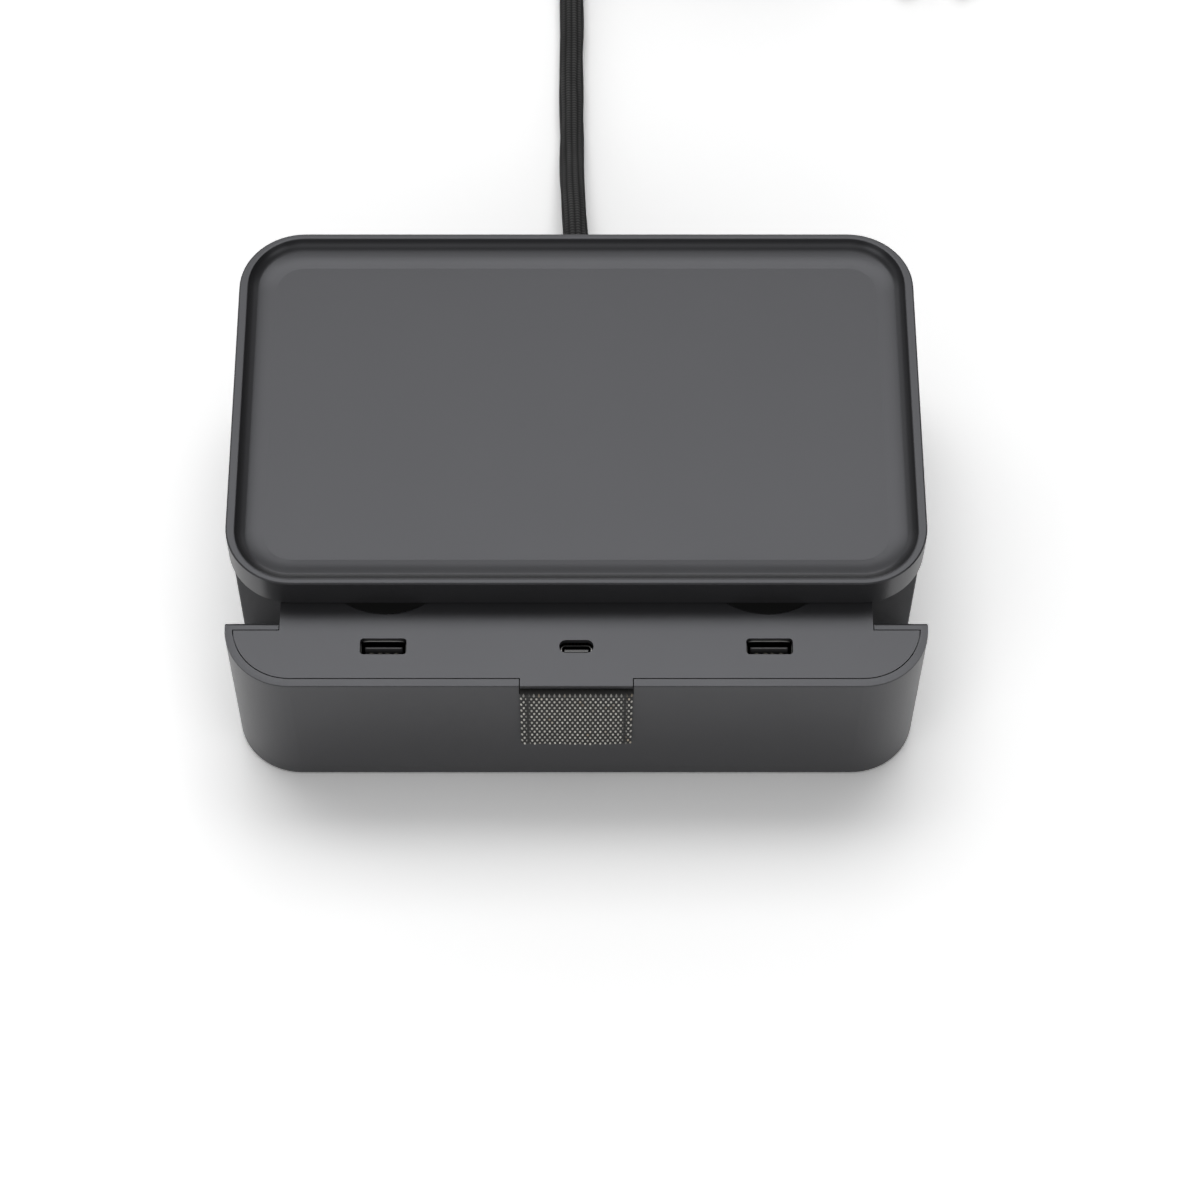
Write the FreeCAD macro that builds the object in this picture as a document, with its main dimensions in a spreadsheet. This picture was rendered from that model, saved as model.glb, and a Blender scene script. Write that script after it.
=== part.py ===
import FreeCAD, Part
import math
import os

import Sketcher
from FreeCAD import Placement, Rotation, Vector

# A desktop charging box: a shallow charging tray on a housing, over a drawer that slides out to the front.
# X runs to the right, Y to the back and Z up, in millimetres.
# The origin is on the table, under the tray's centre.
# The drawer is modelled pulled out by rest_opening. Its own pieces measure Y from the drawer's front face.

doc = FreeCAD.newDocument("charging_box")
sheet = doc.addObject("Spreadsheet::Sheet", "sizes")
pieces = []

POINTS = ("edge", "start", "end", "centre")
AXES = ("none", "x", "y")
UP = Vector(0, 0, 1)
WAYS = {
    "+x": Rotation(Vector(0, 1, 0), 90), "-x": Rotation(Vector(0, 1, 0), -90),
    "+y": Rotation(Vector(1, 0, 0), -90), "-y": Rotation(Vector(1, 0, 0), 90),
    "+z": Rotation(), "-z": Rotation(Vector(1, 0, 0), 180),
}
SIDES = (("left", -1), ("right", 1))
UPWARD = ["+z"] * 4
DOWNWARD = ["-z"] * 4


class Length:
    """A size in millimetres: its number, and the sheet formula that gives it."""

    def __init__(self, number, formula):
        self.number = number
        self.formula = formula

    def __float__(self):
        return self.number

    def __add__(self, other):
        other = as_length(other)
        return Length(self.number + other.number, f"({self.formula} + {other.formula})")

    def __sub__(self, other):
        other = as_length(other)
        return Length(self.number - other.number, f"({self.formula} - {other.formula})")

    def __mul__(self, factor):
        return Length(self.number * factor, f"({self.formula} * {factor})")

    def __truediv__(self, divisor):
        return Length(self.number / divisor, f"({self.formula} / {divisor})")

    def __neg__(self):
        return self * -1


def as_length(thing):
    """Take a plain number as a length too."""
    return thing if isinstance(thing, Length) else Length(float(thing), str(thing))


def size(alias, millimetres, meaning):
    """Write one driving size into the sheet, and return the length that stands for its cell."""
    row = len(sheet.getUsedCells()) // 2 + 1
    sheet.set(f"A{row}", meaning)
    sheet.set(f"B{row}", str(millimetres))
    sheet.setAlias(f"B{row}", alias)
    return Length(millimetres, f"sizes.{alias}")


def bind(thing, setting, length):
    """Tie a setting of an object to the sheet."""
    thing.setExpression(setting, as_length(length).formula)


# Box, tray and housing
width = size("width", 200.0, "tray, housing and drawer, side to side")
depth = size("depth", 120.0, "tray and housing, front to back")
height = size("height", 68.0, "table to the tray's rim")
edge_round = size("edge_round", 0.5, "broken outer edges")
fit_gap = size("fit_gap", 0.3, "gap around fitted plates")
spare = size("spare", 1.0, "how far a cut runs past the face that it opens")
tray_thick = size("tray_thick", 11.0, "tray, top to bottom")
rim_side = size("rim_side", 2.6, "tray rim at the sides")
rim_end = size("rim_end", 1.9, "tray rim at the front and back")
rim_round = size("rim_round", 1.4, "round inner edge of the tray's rim")
recess_depth = size("recess_depth", 3.8, "tray recess")
recess_slope = size("recess_slope", 4.2, "recess wall, in from the rim to its foot")
recess_round = size("recess_round", 10.0, "round foot of the recess wall")
tray_floor = size("tray_floor", 2.0, "tray floor")
tray_wall = size("tray_wall", 2.8, "tray skirt")
plate_thick = size("plate_thick", 1.5, "plate that closes the tray's underside")
pad_thick = size("pad_thick", 1.0, "non-slip pad under the housing")
pad_inset = size("pad_inset", 3.0, "pad edge inside the housing's outline")
shell_wall = size("shell_wall", 2.5, "housing walls")
shell_floor = size("shell_floor", 2.5, "housing floor")

# Drawer
nose_depth = size("nose_depth", 20.2, "drawer's full-width front, front to back")
corner_run = size("corner_run", 1.2, "straight side of the drawer's front behind its round corner")
close_gap = size("close_gap", 0.3, "closed drawer front to the housing's pillars")
under_gap = size("under_gap", 0.5, "drawer top to the tray's underside")
drawer_lift = size("drawer_lift", 1.0, "drawer front above the table")
drawer_round = size("drawer_round", 0.9, "round top edge of the drawer's front")
drawer_wall = size("drawer_wall", 2.2, "drawer walls")
drawer_floor = size("drawer_floor", 2.2, "drawer floor")
ledge = size("ledge", 1.4, "ledge that carries the deck, in from the wall")
ledge_tall = size("ledge_tall", 2.0, "ledge, top to bottom")
pillar = size("pillar", 15.2, "pillars beside the drawer's bay, side to side")
neck_depth = size("neck_depth", 50.0, "drawer behind its front, front to back")
mouth_gap = size("mouth_gap", 0.5, "drawer to pillar, each side")
deck_thick = size("deck_thick", 1.8, "port deck")
notch_width = size("notch_width", 32.4, "notch in the drawer front for the deck's tongue")
slot_tall = size("slot_tall", 3.3, "slot under the tongue for the pull tab")
rest_opening = size("rest_opening", 26.4, "how far the drawer is out at rest")
full_opening = size("full_opening", 66.0, "how far the drawer comes out")

# Drawer slides
slide_gap = size("slide_gap", 0.3, "running gap of the slides")
stop_gap = size("stop_gap", 0.3, "shoe to pillar at full opening")
runner_thick = size("runner_thick", 1.5, "runner strips under the drawer")
runner_width = size("runner_width", 10.0, "runner strips, side to side")
runner_length = size("runner_length", 40.0, "runner strips, front to back")
runner_inset = size("runner_inset", 24.3, "runner strips in from the drawer's side")
channel_sheet = size("channel_sheet", 0.8, "sheet of the slide channels")
channel_tall = size("channel_tall", 10.0, "slide channels, top to bottom")
channel_gap = size("channel_gap", 0.9, "drawer arm to the channel's lips")
shoe_width = size("shoe_width", 3.7, "slide shoes, out from the drawer's arms")
shoe_length = size("shoe_length", 14.0, "slide shoes, front to back")
arm_tail = size("arm_tail", 1.0, "arm behind its shoe")
arm_tall = size("arm_tall", 15.0, "drawer arms, top to bottom")

# Screws and their posts
post_radius = size("post_radius", 3.5, "screw posts of the case and the deck")
driver_radius = size("driver_radius", 2.5, "driver bore in a post")
post_web = size("post_web", 6.0, "post between the screw's head and its top")
case_drop = size("case_drop", 6.0, "case post tops below the tray's underside")
deck_drop = size("deck_drop", 10.0, "deck post tops below the deck")
front_post_side = size("front_post_side", 6.5, "front case posts in from the side")
front_post_back = size("front_post_back", 6.5, "front case posts behind the pillar face")
rear_post_side = size("rear_post_side", 12.0, "rear case posts in from the side")
rear_post_back = size("rear_post_back", 10.0, "rear case posts in from the back")
deck_post_side = size("deck_post_side", 12.5, "front deck posts in from the side")
deck_post_middle = size("deck_post_middle", 14.0, "rear deck posts from the middle")
plate_screw_side = size("plate_screw_side", 30.0, "tray plate screws in from the side")
plate_screw_end = size("plate_screw_end", 18.0, "tray plate screws in from the front and back")
screw_radius = size("screw_radius", 1.25, "case and deck screws")
screw_length = size("screw_length", 12.0, "case and deck screws under the head")
screw_head = size("screw_head", 2.2, "case and deck screw heads, radius")
head_tall = size("head_tall", 1.8, "case and deck screw heads")
screw_gap = size("screw_gap", 0.05, "screw to its hole")
small_radius = size("small_radius", 0.9, "small screws")
small_head = size("small_head", 1.7, "small screw heads, radius")
small_tall = size("small_tall", 0.9, "small screw heads")
small_boss = size("small_boss", 2.2, "small screw bosses")

# Ports, wells and pull tab, set back from the drawer's front face
port_setback = size("port_setback", 12.6, "ports behind the drawer's front face")
port_side = size("port_side", 45.3, "outer ports in from the side")
usb_a_long = size("usb_a_long", 13.2, "wide port opening, long side")
usb_a_wide = size("usb_a_wide", 5.1, "wide port opening, short side")
usb_a_round = size("usb_a_round", 1.0, "wide port opening, corners")
usb_c_long = size("usb_c_long", 9.7, "small port opening, long side")
usb_c_wide = size("usb_c_wide", 4.1, "small port opening, short side")
usb_c_round = size("usb_c_round", 1.95, "small port opening, corners")
socket_a_long = size("socket_a_long", 12.5, "wide socket inside its shell, long side")
socket_a_wide = size("socket_a_wide", 5.1, "wide socket inside its shell, short side")
socket_a_round = size("socket_a_round", 0.6, "wide socket shell, outer corners")
socket_c_long = size("socket_c_long", 8.3, "small socket inside its shell, long side")
socket_c_wide = size("socket_c_wide", 2.6, "small socket inside its shell, short side")
socket_c_round = size("socket_c_round", 1.5, "small socket shell, outer corners")
socket_sheet = size("socket_sheet", 0.3, "sheet of the socket shells")
socket_tall = size("socket_tall", 13.0, "sockets, top to bottom")
socket_gap = size("socket_gap", 0.1, "wide sockets to the deck")
socket_c_drop = size("socket_c_drop", 0.5, "small socket below the wide ones")
tongue_a_long = size("tongue_a_long", 11.1, "wide socket tongue, long side")
tongue_a_thick = size("tongue_a_thick", 1.84, "wide socket tongue")
tongue_a_back = size("tongue_a_back", 0.7, "wide socket tongue to the shell behind it")
tongue_c_long = size("tongue_c_long", 6.7, "small socket tongue, long side")
tongue_c_thick = size("tongue_c_thick", 0.7, "small socket tongue")
tongue_a_sink = size("tongue_a_sink", 1.0, "wide socket tongue below the top of its shell")
tongue_c_sink = size("tongue_c_sink", 0.4, "small socket tongue below the top of its shell")
contact_wide = size("contact_wide", 1.0, "contact strips, side to side")
contact_thick = size("contact_thick", 0.15, "contact strips")
contact_sink = size("contact_sink", 1.2, "contact strips below the tongue's top")
contact_tall = size("contact_tall", 6.0, "contact strips, top to bottom")
contact_inner = size("contact_inner", 1.0, "inner contacts from the socket's middle")
contact_outer = size("contact_outer", 3.5, "outer contacts from the socket's middle")
well_setback = size("well_setback", 43.1, "wells behind the drawer's front face")
well_side = size("well_side", 45.6, "wells in from the side")
well_radius = size("well_radius", 19.8, "wells")
well_depth = size("well_depth", 12.0, "wells, deck top to their floor")
well_wall = size("well_wall", 1.8, "well cups")
well_flange = size("well_flange", 1.4, "flange that bonds a cup under the deck")
well_round = size("well_round", 4.0, "round foot of a well")
tab_width = size("tab_width", 32.0, "pull tab, side to side")
tab_thick = size("tab_thick", 1.2, "pull tab, two layers of cloth")
tab_clear = size("tab_clear", 0.3, "pull tab to the drawer")
tab_hang = size("tab_hang", 1.8, "pull tab below the deck's tongue")
tab_drop = size("tab_drop", 30.3, "pull tab down the drawer's front")
tab_bend = size("tab_bend", 1.1, "pull tab over the slot's edge")
tab_inside = size("tab_inside", 9.0, "pull tab behind the drawer's front face")
clamp_thick = size("clamp_thick", 2.0, "bar that clamps the pull tab")
clamp_margin = size("clamp_margin", 2.8, "clamp screws outside the notch")

# Electronics
board_thick = size("board_thick", 1.6, "circuit boards")
port_board_side = size("port_board_side", 34.0, "port board in from the side")
port_board_gap = size("port_board_gap", 1.0, "port board to the drawer's walls")
board_screw_gap = size("board_screw_gap", 6.5, "port board screws beside the converter coils")
converter_side = size("converter_side", 7.0, "converter coils on the port board, across")
converter_tall = size("converter_tall", 4.0, "converter coils, top to bottom")
converter_gap = size("converter_gap", 4.6, "converter coils beside the outer sockets")
lead_width = size("lead_width", 12.0, "flexible lead to the drawer")
lead_thick = size("lead_thick", 0.4, "flexible lead")
lead_tail = size("lead_tail", 1.2, "lead behind the drawer's back wall")
lead_socket = size("lead_socket", 4.0, "height of the lead's socket on the power board")
lead_run = size("lead_run", 8.0, "straight ends of the flexible lead")
lead_reach = size("lead_reach", 22.0, "how far the lead's slack hangs back")
lead_turn = size("lead_turn", 10.0, "how far the lead's slack falls at each turn")
coil_radius = size("coil_radius", 25.0, "charging coil, outside")
coil_bore = size("coil_bore", 10.0, "charging coil, inside")
coil_thick = size("coil_thick", 1.2, "charging coil")
shield_side = size("shield_side", 56.0, "ferrite shield")
shield_thick = size("shield_thick", 1.0, "ferrite shield")
charger_long = size("charger_long", 46.0, "charger board, side to side")
charger_deep = size("charger_deep", 60.0, "charger board, front to back")
charger_thick = size("charger_thick", 1.0, "charger board")
charger_gap = size("charger_gap", 4.0, "charger board beside the shield")
chip_side = size("chip_side", 7.0, "charger chips")
chip_tall = size("chip_tall", 0.9, "charger chips")
power_side = size("power_side", 30.0, "power board in from the side")
power_deep = size("power_deep", 29.0, "power board, front to back")
power_back = size("power_back", 18.0, "power board in front of the case's back")
power_lift = size("power_lift", 4.0, "power board above the housing floor")
power_hole = size("power_hole", 4.0, "power board screws in from its edges")
former_long = size("former_long", 28.0, "transformer, side to side")
former_deep = size("former_deep", 22.0, "transformer, front to back")
former_tall = size("former_tall", 24.0, "transformer, top to bottom")
bulk_radius = size("bulk_radius", 8.0, "bulk capacitor")
bulk_tall = size("bulk_tall", 26.0, "bulk capacitor")
choke_radius = size("choke_radius", 7.0, "filter choke, middle of its ring")
choke_thick = size("choke_thick", 3.0, "filter choke, radius of its winding")
sink_long = size("sink_long", 3.0, "heat sink plate")
sink_tall = size("sink_tall", 22.0, "heat sink plate, top to bottom")
fuse_radius = size("fuse_radius", 2.6, "fuse")
fuse_long = size("fuse_long", 20.0, "fuse")
terminal_long = size("terminal_long", 14.0, "terminal block, side to side")
terminal_deep = size("terminal_deep", 8.0, "terminal block, front to back")
terminal_tall = size("terminal_tall", 9.0, "terminal block, top to bottom")

# Mains cord, its gland, coil, tie and plug
cord_radius = size("cord_radius", 4.0, "mains cord")
cord_height = size("cord_height", 12.0, "mains cord above the table where it leaves")
cord_gap = size("cord_gap", 0.05, "cord to gland and clamp")
gland_neck = size("gland_neck", 6.5, "gland in the wall, radius")
gland_flange = size("gland_flange", 8.0, "gland flanges, radius")
gland_lip = size("gland_lip", 2.0, "gland flanges, front to back")
gland_tip = size("gland_tip", 5.2, "gland's free end, radius")
gland_tail = size("gland_tail", 28.0, "gland's taper")
clamp_long = size("clamp_long", 30.0, "cord clamp, side to side")
clamp_deep = size("clamp_deep", 7.0, "cord clamp, front to back")
clamp_tall = size("clamp_tall", 7.0, "cord clamp above the cord's middle")
clamp_back = size("clamp_back", 6.5, "cord clamp in front of the case's back")
clamp_hole = size("clamp_hole", 10.0, "cord clamp screws from the middle")
wire_radius = size("wire_radius", 1.1, "mains wires")
wire_spread = size("wire_spread", 1.9, "mains wires from the cord's middle")
wire_long = size("wire_long", 2.8, "mains wires between the terminal block and the cord")
coil_x = size("coil_x", 47.25, "middle of the coiled cord, to the right")
coil_y = size("coil_y", 272.0, "middle of the coiled cord, to the back")
turn_inner = size("turn_inner", 41.0, "inner turns of the coiled cord")
turn_outer = size("turn_outer", 49.0, "outer turns of the coiled cord")
coil_layers = size("coil_layers", 16.4, "coiled cord, top to bottom")
tie_thick = size("tie_thick", 0.9, "tie around the coiled cord")
tie_width = size("tie_width", 12.0, "tie, along the cord")
tie_angle = size("tie_angle", -60.0, "tie's place around the coil, in degrees")
plug_width = size("plug_width", 35.3, "plug, side to side")
plug_tall = size("plug_tall", 13.7, "plug, top to bottom")
plug_face = size("plug_face", 26.0, "plug's flat top and bottom, side to side")
plug_long = size("plug_long", 32.0, "plug, face to neck")
plug_neck = size("plug_neck", 5.6, "plug's neck, radius")
plug_neck_long = size("plug_neck_long", 14.0, "plug's neck")
pin_radius = size("pin_radius", 2.0, "plug pins")
pin_length = size("pin_length", 19.0, "plug pins")
pin_spread = size("pin_spread", 9.3, "plug pins from the middle")

# Places that several pieces share
side = width / 2
back = depth / 2
corner = nose_depth - corner_run
screw_bore = screw_radius + screw_gap
small_bore = small_radius + screw_gap
head_bore = small_head + screw_gap
tray_under = height - tray_thick
recess_floor = height - recess_depth
tray_ceiling = recess_floor - tray_floor
plate_top = tray_under + plate_thick
floor_top = pad_thick + shell_floor
lip_front = nose_depth + close_gap - back
lip_back = lip_front + shell_wall
case_post_top = tray_under - case_drop
drawer_front = -back - rest_opening
drawer_top = tray_under - under_gap
deck_under = drawer_top - deck_thick
neck_low = floor_top + runner_thick + slide_gap
neck_back = nose_depth + neck_depth
neck_side = side - pillar - mouth_gap
neck_inside = neck_side - drawer_wall
deck_inset = drawer_wall + fit_gap
deck_post_top = deck_under - deck_drop
shoe_front = lip_back + full_opening + stop_gap + back
shoe_back = shoe_front + shoe_length
shoe_middle = (shoe_front + shoe_back) / 2
shoe_low = floor_top + channel_sheet + slide_gap
shoe_high = floor_top + channel_tall - channel_sheet - slide_gap
shoe_level = (shoe_low + shoe_high) / 2
channel_inner = neck_side + channel_gap
channel_outer = neck_side + shoe_width + slide_gap + channel_sheet
channel_back = shoe_back - back + arm_tail
port_x = side - port_side
well_x = side - well_side
converter_x = port_x - socket_a_long / 2 - socket_sheet - converter_gap - converter_side / 2
board_screw_x = converter_x - converter_side / 2 - board_screw_gap
socket_top = deck_under - socket_gap
port_board_top = socket_top - socket_tall
tab_top = deck_under - tab_hang
clamp_top = tab_top - tab_thick - tab_clear
clamp_screw_x = notch_width / 2 + clamp_margin
clamp_front = drawer_wall + ledge + fit_gap
clamp_middle = (clamp_front + tab_inside) / 2
power_top = floor_top + power_lift + board_thick
power_rear = back - power_back
power_front = power_rear - power_deep
gland_inside = back - shell_wall - gland_lip
gland_end = back + gland_lip + gland_tail
clamp_rear = back - clamp_back
cord_inner_end = power_rear + wire_long

CASE_POSTS = [
    (place * sign, along)
    for _, sign in SIDES
    for place, along in ((side - front_post_side, lip_front + front_post_back),
                         (side - rear_post_side, back - rear_post_back))
]
DECK_POSTS = [
    (place * sign, along)
    for _, sign in SIDES
    for place, along in ((side - deck_post_side, nose_depth / 2),
                         (deck_post_middle, neck_back - drawer_wall - post_radius - spare))
]
PLATE_SCREWS = [
    ((side - plate_screw_side) * sign, (back - plate_screw_end) * end) for _, sign in SIDES for end in (-1, 1)
]
POWER_SCREWS = [
    ((side - power_side - power_hole) * sign, along)
    for _, sign in SIDES
    for along in (power_front + power_hole, power_rear - power_hole)
]
CHANNEL_SCREWS = [
    ((channel_inner + channel_outer) / 2 * sign, along)
    for _, sign in SIDES
    for along in (lip_back + shoe_length, channel_back - shoe_length)
]

# The cord's route outside its coil: from the gland to the coil, and from the coil to the plug
LEAD_ROUTE = [
    Vector(0, float(gland_end), float(cord_height)), Vector(0, 104, float(cord_height)),
    Vector(-0.8, 121, 8.8), Vector(-1.5, 139, 4.7), Vector(-1.7, 160, 4.1), Vector(-1.5, 184, 4.1),
    Vector(-1.75, 210, 4.2), Vector(-1.6, 241.5, 4.4), Vector(-1.75, 272, 5.0),
]
TAIL_ROUTE = [
    Vector(-1.75, 272, 13.2), Vector(-1.75, 296, 12.4), Vector(12.3, 322.5, 7.8), Vector(39.5, 339.5, 4.7),
    Vector(71.4, 340.6, 4.2), Vector(102.5, 327.5, 4.8), Vector(121, 301.5, 6.85), Vector(121, 271.5, 6.85),
]


def keep(thing):
    """Put a finished sub-part on the list of pieces."""
    pieces.append(thing)
    return thing


def body(name, front=0):
    """Start a sub-part whose own Y is measured from the place front."""
    made = doc.addObject("PartDesign::Body", name)
    bind(made, "Placement.Base.y", front)
    return keep(made)


def sketch(owner, name, role, offset):
    """Start a sketch on one of a sub-part's own planes, moved out along the plane's normal."""
    made = owner.newObject("Sketcher::SketchObject", f"{owner.Name}_{name}_sketch")
    plane = next(face for face in owner.Origin.OriginFeatures if face.Role == role)
    made.AttachmentSupport = [(plane, "")]
    made.MapMode = "FlatFace"
    bind(made, "AttachmentOffset.Base.z", offset)
    return made


def point_code(name):
    """Give the sketcher's number for a point of an element."""
    return POINTS.index(name)


def axis_code(name):
    """Give the sketcher's number for one of its axes. The x axis starts at the origin."""
    return -AXES.index(name)


def hold(drawing, way, element, point, place):
    """Fix one coordinate of a sketch point at its distance from the origin."""
    place = as_length(place)
    if place.formula == "0":
        axis = axis_code("y" if way == "x" else "x")
        drawing.addConstraint(Sketcher.Constraint("PointOnObject", element, point_code(point), axis))
        return
    kind = "DistanceX" if way == "x" else "DistanceY"
    origin = axis_code("x"), point_code("start")
    rule = Sketcher.Constraint(kind, *origin, element, point_code(point), place.number)
    row = drawing.addConstraint(rule)
    drawing.setExpression(f"Constraints[{row}]", place.formula)


def hold_radius(drawing, element, radius):
    """Fix the radius of a sketch circle or arc."""
    row = drawing.addConstraint(Sketcher.Constraint("Radius", element, float(radius)))
    drawing.setExpression(f"Constraints[{row}]", radius.formula)


def disc(drawing, x, y, radius):
    """Draw a circle about (x, y)."""
    middle = Vector(float(x), float(y), 0)
    circle = drawing.addGeometry(Part.Circle(middle, UP, float(radius)))
    hold(drawing, "x", circle, "centre", x)
    hold(drawing, "y", circle, "centre", y)
    hold_radius(drawing, circle, radius)


def round_corner(drawing, before, after, corner_point, into, out, radius):
    """Join two sketch lines that meet at a right angle by a tangent arc."""
    reach = float(radius)
    first = corner_point - into * reach
    middle = first + out * reach
    last = corner_point + out * reach
    turns_left = into.cross(out).z > 0
    begin, finish = (first, last) if turns_left else (last, first)
    angle = math.atan2(begin.y - middle.y, begin.x - middle.x)
    curve = Part.ArcOfCircle(Part.Circle(middle, UP, reach), angle, angle + math.pi / 2)
    arc = drawing.addGeometry(curve)
    start, end = point_code("start"), point_code("end")
    first_end, last_end = (start, end) if turns_left else (end, start)
    drawing.addConstraint(Sketcher.Constraint("Tangent", before, end, arc, first_end))
    drawing.addConstraint(Sketcher.Constraint("Tangent", arc, last_end, after, start))
    hold_radius(drawing, arc, radius)


def outline(drawing, sides, rounds):
    """Draw a closed right-angled outline, counter-clockwise.

    sides holds ("x", place) for a line that stands at that x and ("y", place) for one that lies at that y, in
    turn. rounds holds the radius of the corner after each side, or None where the corner is sharp.
    """
    count = len(sides)
    corners = []
    for index, line in enumerate(sides):
        meet = dict((line, sides[(index + 1) % count]))
        corners.append(Vector(float(meet["x"]), float(meet["y"]), 0))
    ways = [(corners[index] - corners[index - 1]).normalize() for index in range(count)]
    lines = []
    for index, (way, place) in enumerate(sides):
        start = corners[index - 1] + ways[index] * float(rounds[index - 1] or 0)
        end = corners[index] - ways[index] * float(rounds[index] or 0)
        line = drawing.addGeometry(Part.LineSegment(start, end))
        drawing.addConstraint(Sketcher.Constraint("Vertical" if way == "x" else "Horizontal", line))
        hold(drawing, way, line, "start", place)
        lines.append(line)
    for index, radius in enumerate(rounds):
        after = (index + 1) % count
        if radius is None:
            ends = lines[index], point_code("end"), lines[after], point_code("start")
            drawing.addConstraint(Sketcher.Constraint("Coincident", *ends))
        else:
            round_corner(drawing, lines[index], lines[after], corners[index],
                         ways[index], ways[after], radius)


def rectangle(left, right, front, rear, round_front=None, round_rear=None):
    """Give the outline of a rectangle, with its front and its rear corners rounded apart."""
    sides = [("y", front), ("x", right), ("y", rear), ("x", left)]
    return outline, sides, [round_front, round_rear, round_rear, round_front]


def discs(places, radius):
    """Give one circle for each place."""
    return [(disc, x, y, radius) for x, y in places]


def feature(owner, kind, name, drawing, length, loops):
    """Draw loops on a sketch and thicken them into a feature."""
    for draw, *places in loops:
        draw(drawing, *places)
    made = owner.newObject(f"PartDesign::{kind}", f"{owner.Name}_{name}")
    made.Profile = drawing
    bind(made, "Length", length)
    return made


def pad(owner, name, low, high, *loops):
    """Add the loops' area between two heights."""
    return feature(owner, "Pad", name, sketch(owner, name, "XY_Plane", low), high - low, loops)


def pocket(owner, name, high, low, *loops):
    """Cut the loops' area downward from one height to another."""
    return feature(owner, "Pocket", name, sketch(owner, name, "XY_Plane", high), high - low, loops)


def lean(made, across, tall):
    """Lean the walls of a cut inward, by one length over another."""
    made.setExpression("TaperAngle", f"-atan({across.formula} / {tall.formula})")


def pocket_up(owner, name, low, high, *loops):
    """Cut the loops' area upward from one height to another."""
    made = feature(owner, "Pocket", name, sketch(owner, name, "XY_Plane", low), high - low, loops)
    made.Reversed = True
    return made


def pocket_back(owner, name, front, rear, *loops):
    """Cut the loops' area, drawn in X and Z, backward from one place to another."""
    return feature(owner, "Pocket", name, sketch(owner, name, "XZ_Plane", -front), rear - front, loops)


def fillet(owner, name, base, radius, chosen):
    """Round the edges of a feature for which chosen is true."""
    doc.recompute()
    edges = [f"Edge{number}" for number, edge in enumerate(base.Shape.Edges, 1) if chosen(edge)]
    made = owner.newObject("PartDesign::Fillet", f"{owner.Name}_{name}")
    made.Base = (base, edges)
    bind(made, "Radius", radius)
    return made


def near(number, length):
    """Tell whether a measured number is at a length."""
    return abs(number - float(length)) < 1e-6


def level_at(edge, place):
    """Tell whether an edge lies flat at a height."""
    return near(edge.BoundBox.ZMin, place) and near(edge.BoundBox.ZMax, place)


def outer_edge_at(base, place):
    """Give a test for the edges around the outside of a feature's top face."""
    doc.recompute()
    tops = [face for face in base.Shape.Faces if level_at(face, place)]
    around = [edge for face in tops for edge in face.OuterWire.Edges]
    return lambda edge: any(edge.isSame(other) for other in around)


def inner_edge_at(base, place):
    """Give a test for the edges around the hole in a feature's top face."""
    is_outer = outer_edge_at(base, place)
    return lambda edge: level_at(edge, place) and not is_outer(edge)


def upright_at(edge, x, y):
    """Tell whether an edge stands upright at a place left or right of the middle."""
    box = edge.BoundBox
    flat = box.XLength + box.YLength
    return near(flat, 0) and near(abs(box.XMin), x) and near(box.YMin, y)


def block(name, x, y, z):
    """Make a box between two places along each axis."""
    made = doc.addObject("Part::Box", name)
    for setting, axis, (low, high) in (("Length", "x", x), ("Width", "y", y), ("Height", "z", z)):
        bind(made, setting, as_length(high) - low)
        bind(made, f"Placement.Base.{axis}", low)
    return made


def rod(name, way, place, radius, length):
    """Make a cylinder that runs from a place along an axis."""
    made = doc.addObject("Part::Cylinder", name)
    made.Placement = Placement(Vector(), WAYS[way])
    bind(made, "Radius", radius)
    bind(made, "Height", length)
    for axis, along in zip("xyz", place):
        bind(made, f"Placement.Base.{axis}", along)
    return made


def cone(name, way, place, radius, end_radius, length):
    """Make a cone that runs from a place along an axis."""
    made = doc.addObject("Part::Cone", name)
    made.Placement = Placement(Vector(), WAYS[way])
    bind(made, "Radius1", radius)
    bind(made, "Radius2", end_radius)
    bind(made, "Height", length)
    for axis, along in zip("xyz", place):
        bind(made, f"Placement.Base.{axis}", along)
    return made


def joined(name, *parts):
    """Fuse primitives into one solid."""
    made = doc.addObject("Part::MultiFuse", name)
    made.Shapes = list(parts)
    return made


def cut(name, base, tool):
    """Cut one primitive out of another."""
    made = doc.addObject("Part::Cut", name)
    made.Base = base
    made.Tool = tool
    return made


def group(name, parts):
    """Keep several separate solids as one sub-part."""
    made = doc.addObject("Part::Compound", name)
    made.Links = parts
    return keep(made)


def screws(name, ways, places, radius, length, head, tall):
    """Make a group of identical screws, each with the underside of its head at its place."""
    made = []
    for number, (way, place) in enumerate(zip(ways, places)):
        opposite = way.translate(str.maketrans("+-", "-+"))
        shank = rod(f"{name}_shank_{number}", way, place, radius, length)
        cap = rod(f"{name}_head_{number}", opposite, place, head, tall)
        made.append(joined(f"{name}_{number}", cap, shank))
    return group(name, made)


def path_with_arcs(route):
    """Join a route's points by straight runs and tangent arcs, each arc as large as its runs allow.

    An arc's radius is 0.45 of its shorter run over the tangent of half the turn.
    Returns the wire and the radii.
    """
    edges, radii, last = [], [], route[0]
    for before, point, after in zip(route, route[1:], route[2:]):
        into, out = (point - before), (after - point)
        reach = 0.45 * min(into.Length, out.Length)
        turn = into.getAngle(out)
        start = point - into.normalize() * reach
        end = point + out.normalize() * reach
        radius = reach / math.tan(turn / 2)
        inward = (out - into).normalize()
        middle = point + inward * (radius / math.cos(turn / 2) - radius)
        edges.append(Part.LineSegment(last, start).toShape())
        edges.append(Part.Arc(start, middle, end).toShape())
        radii.append(round(radius, 1))
        last = end
    edges.append(Part.LineSegment(last, route[-1]).toShape())
    return Part.Wire(edges), radii


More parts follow.
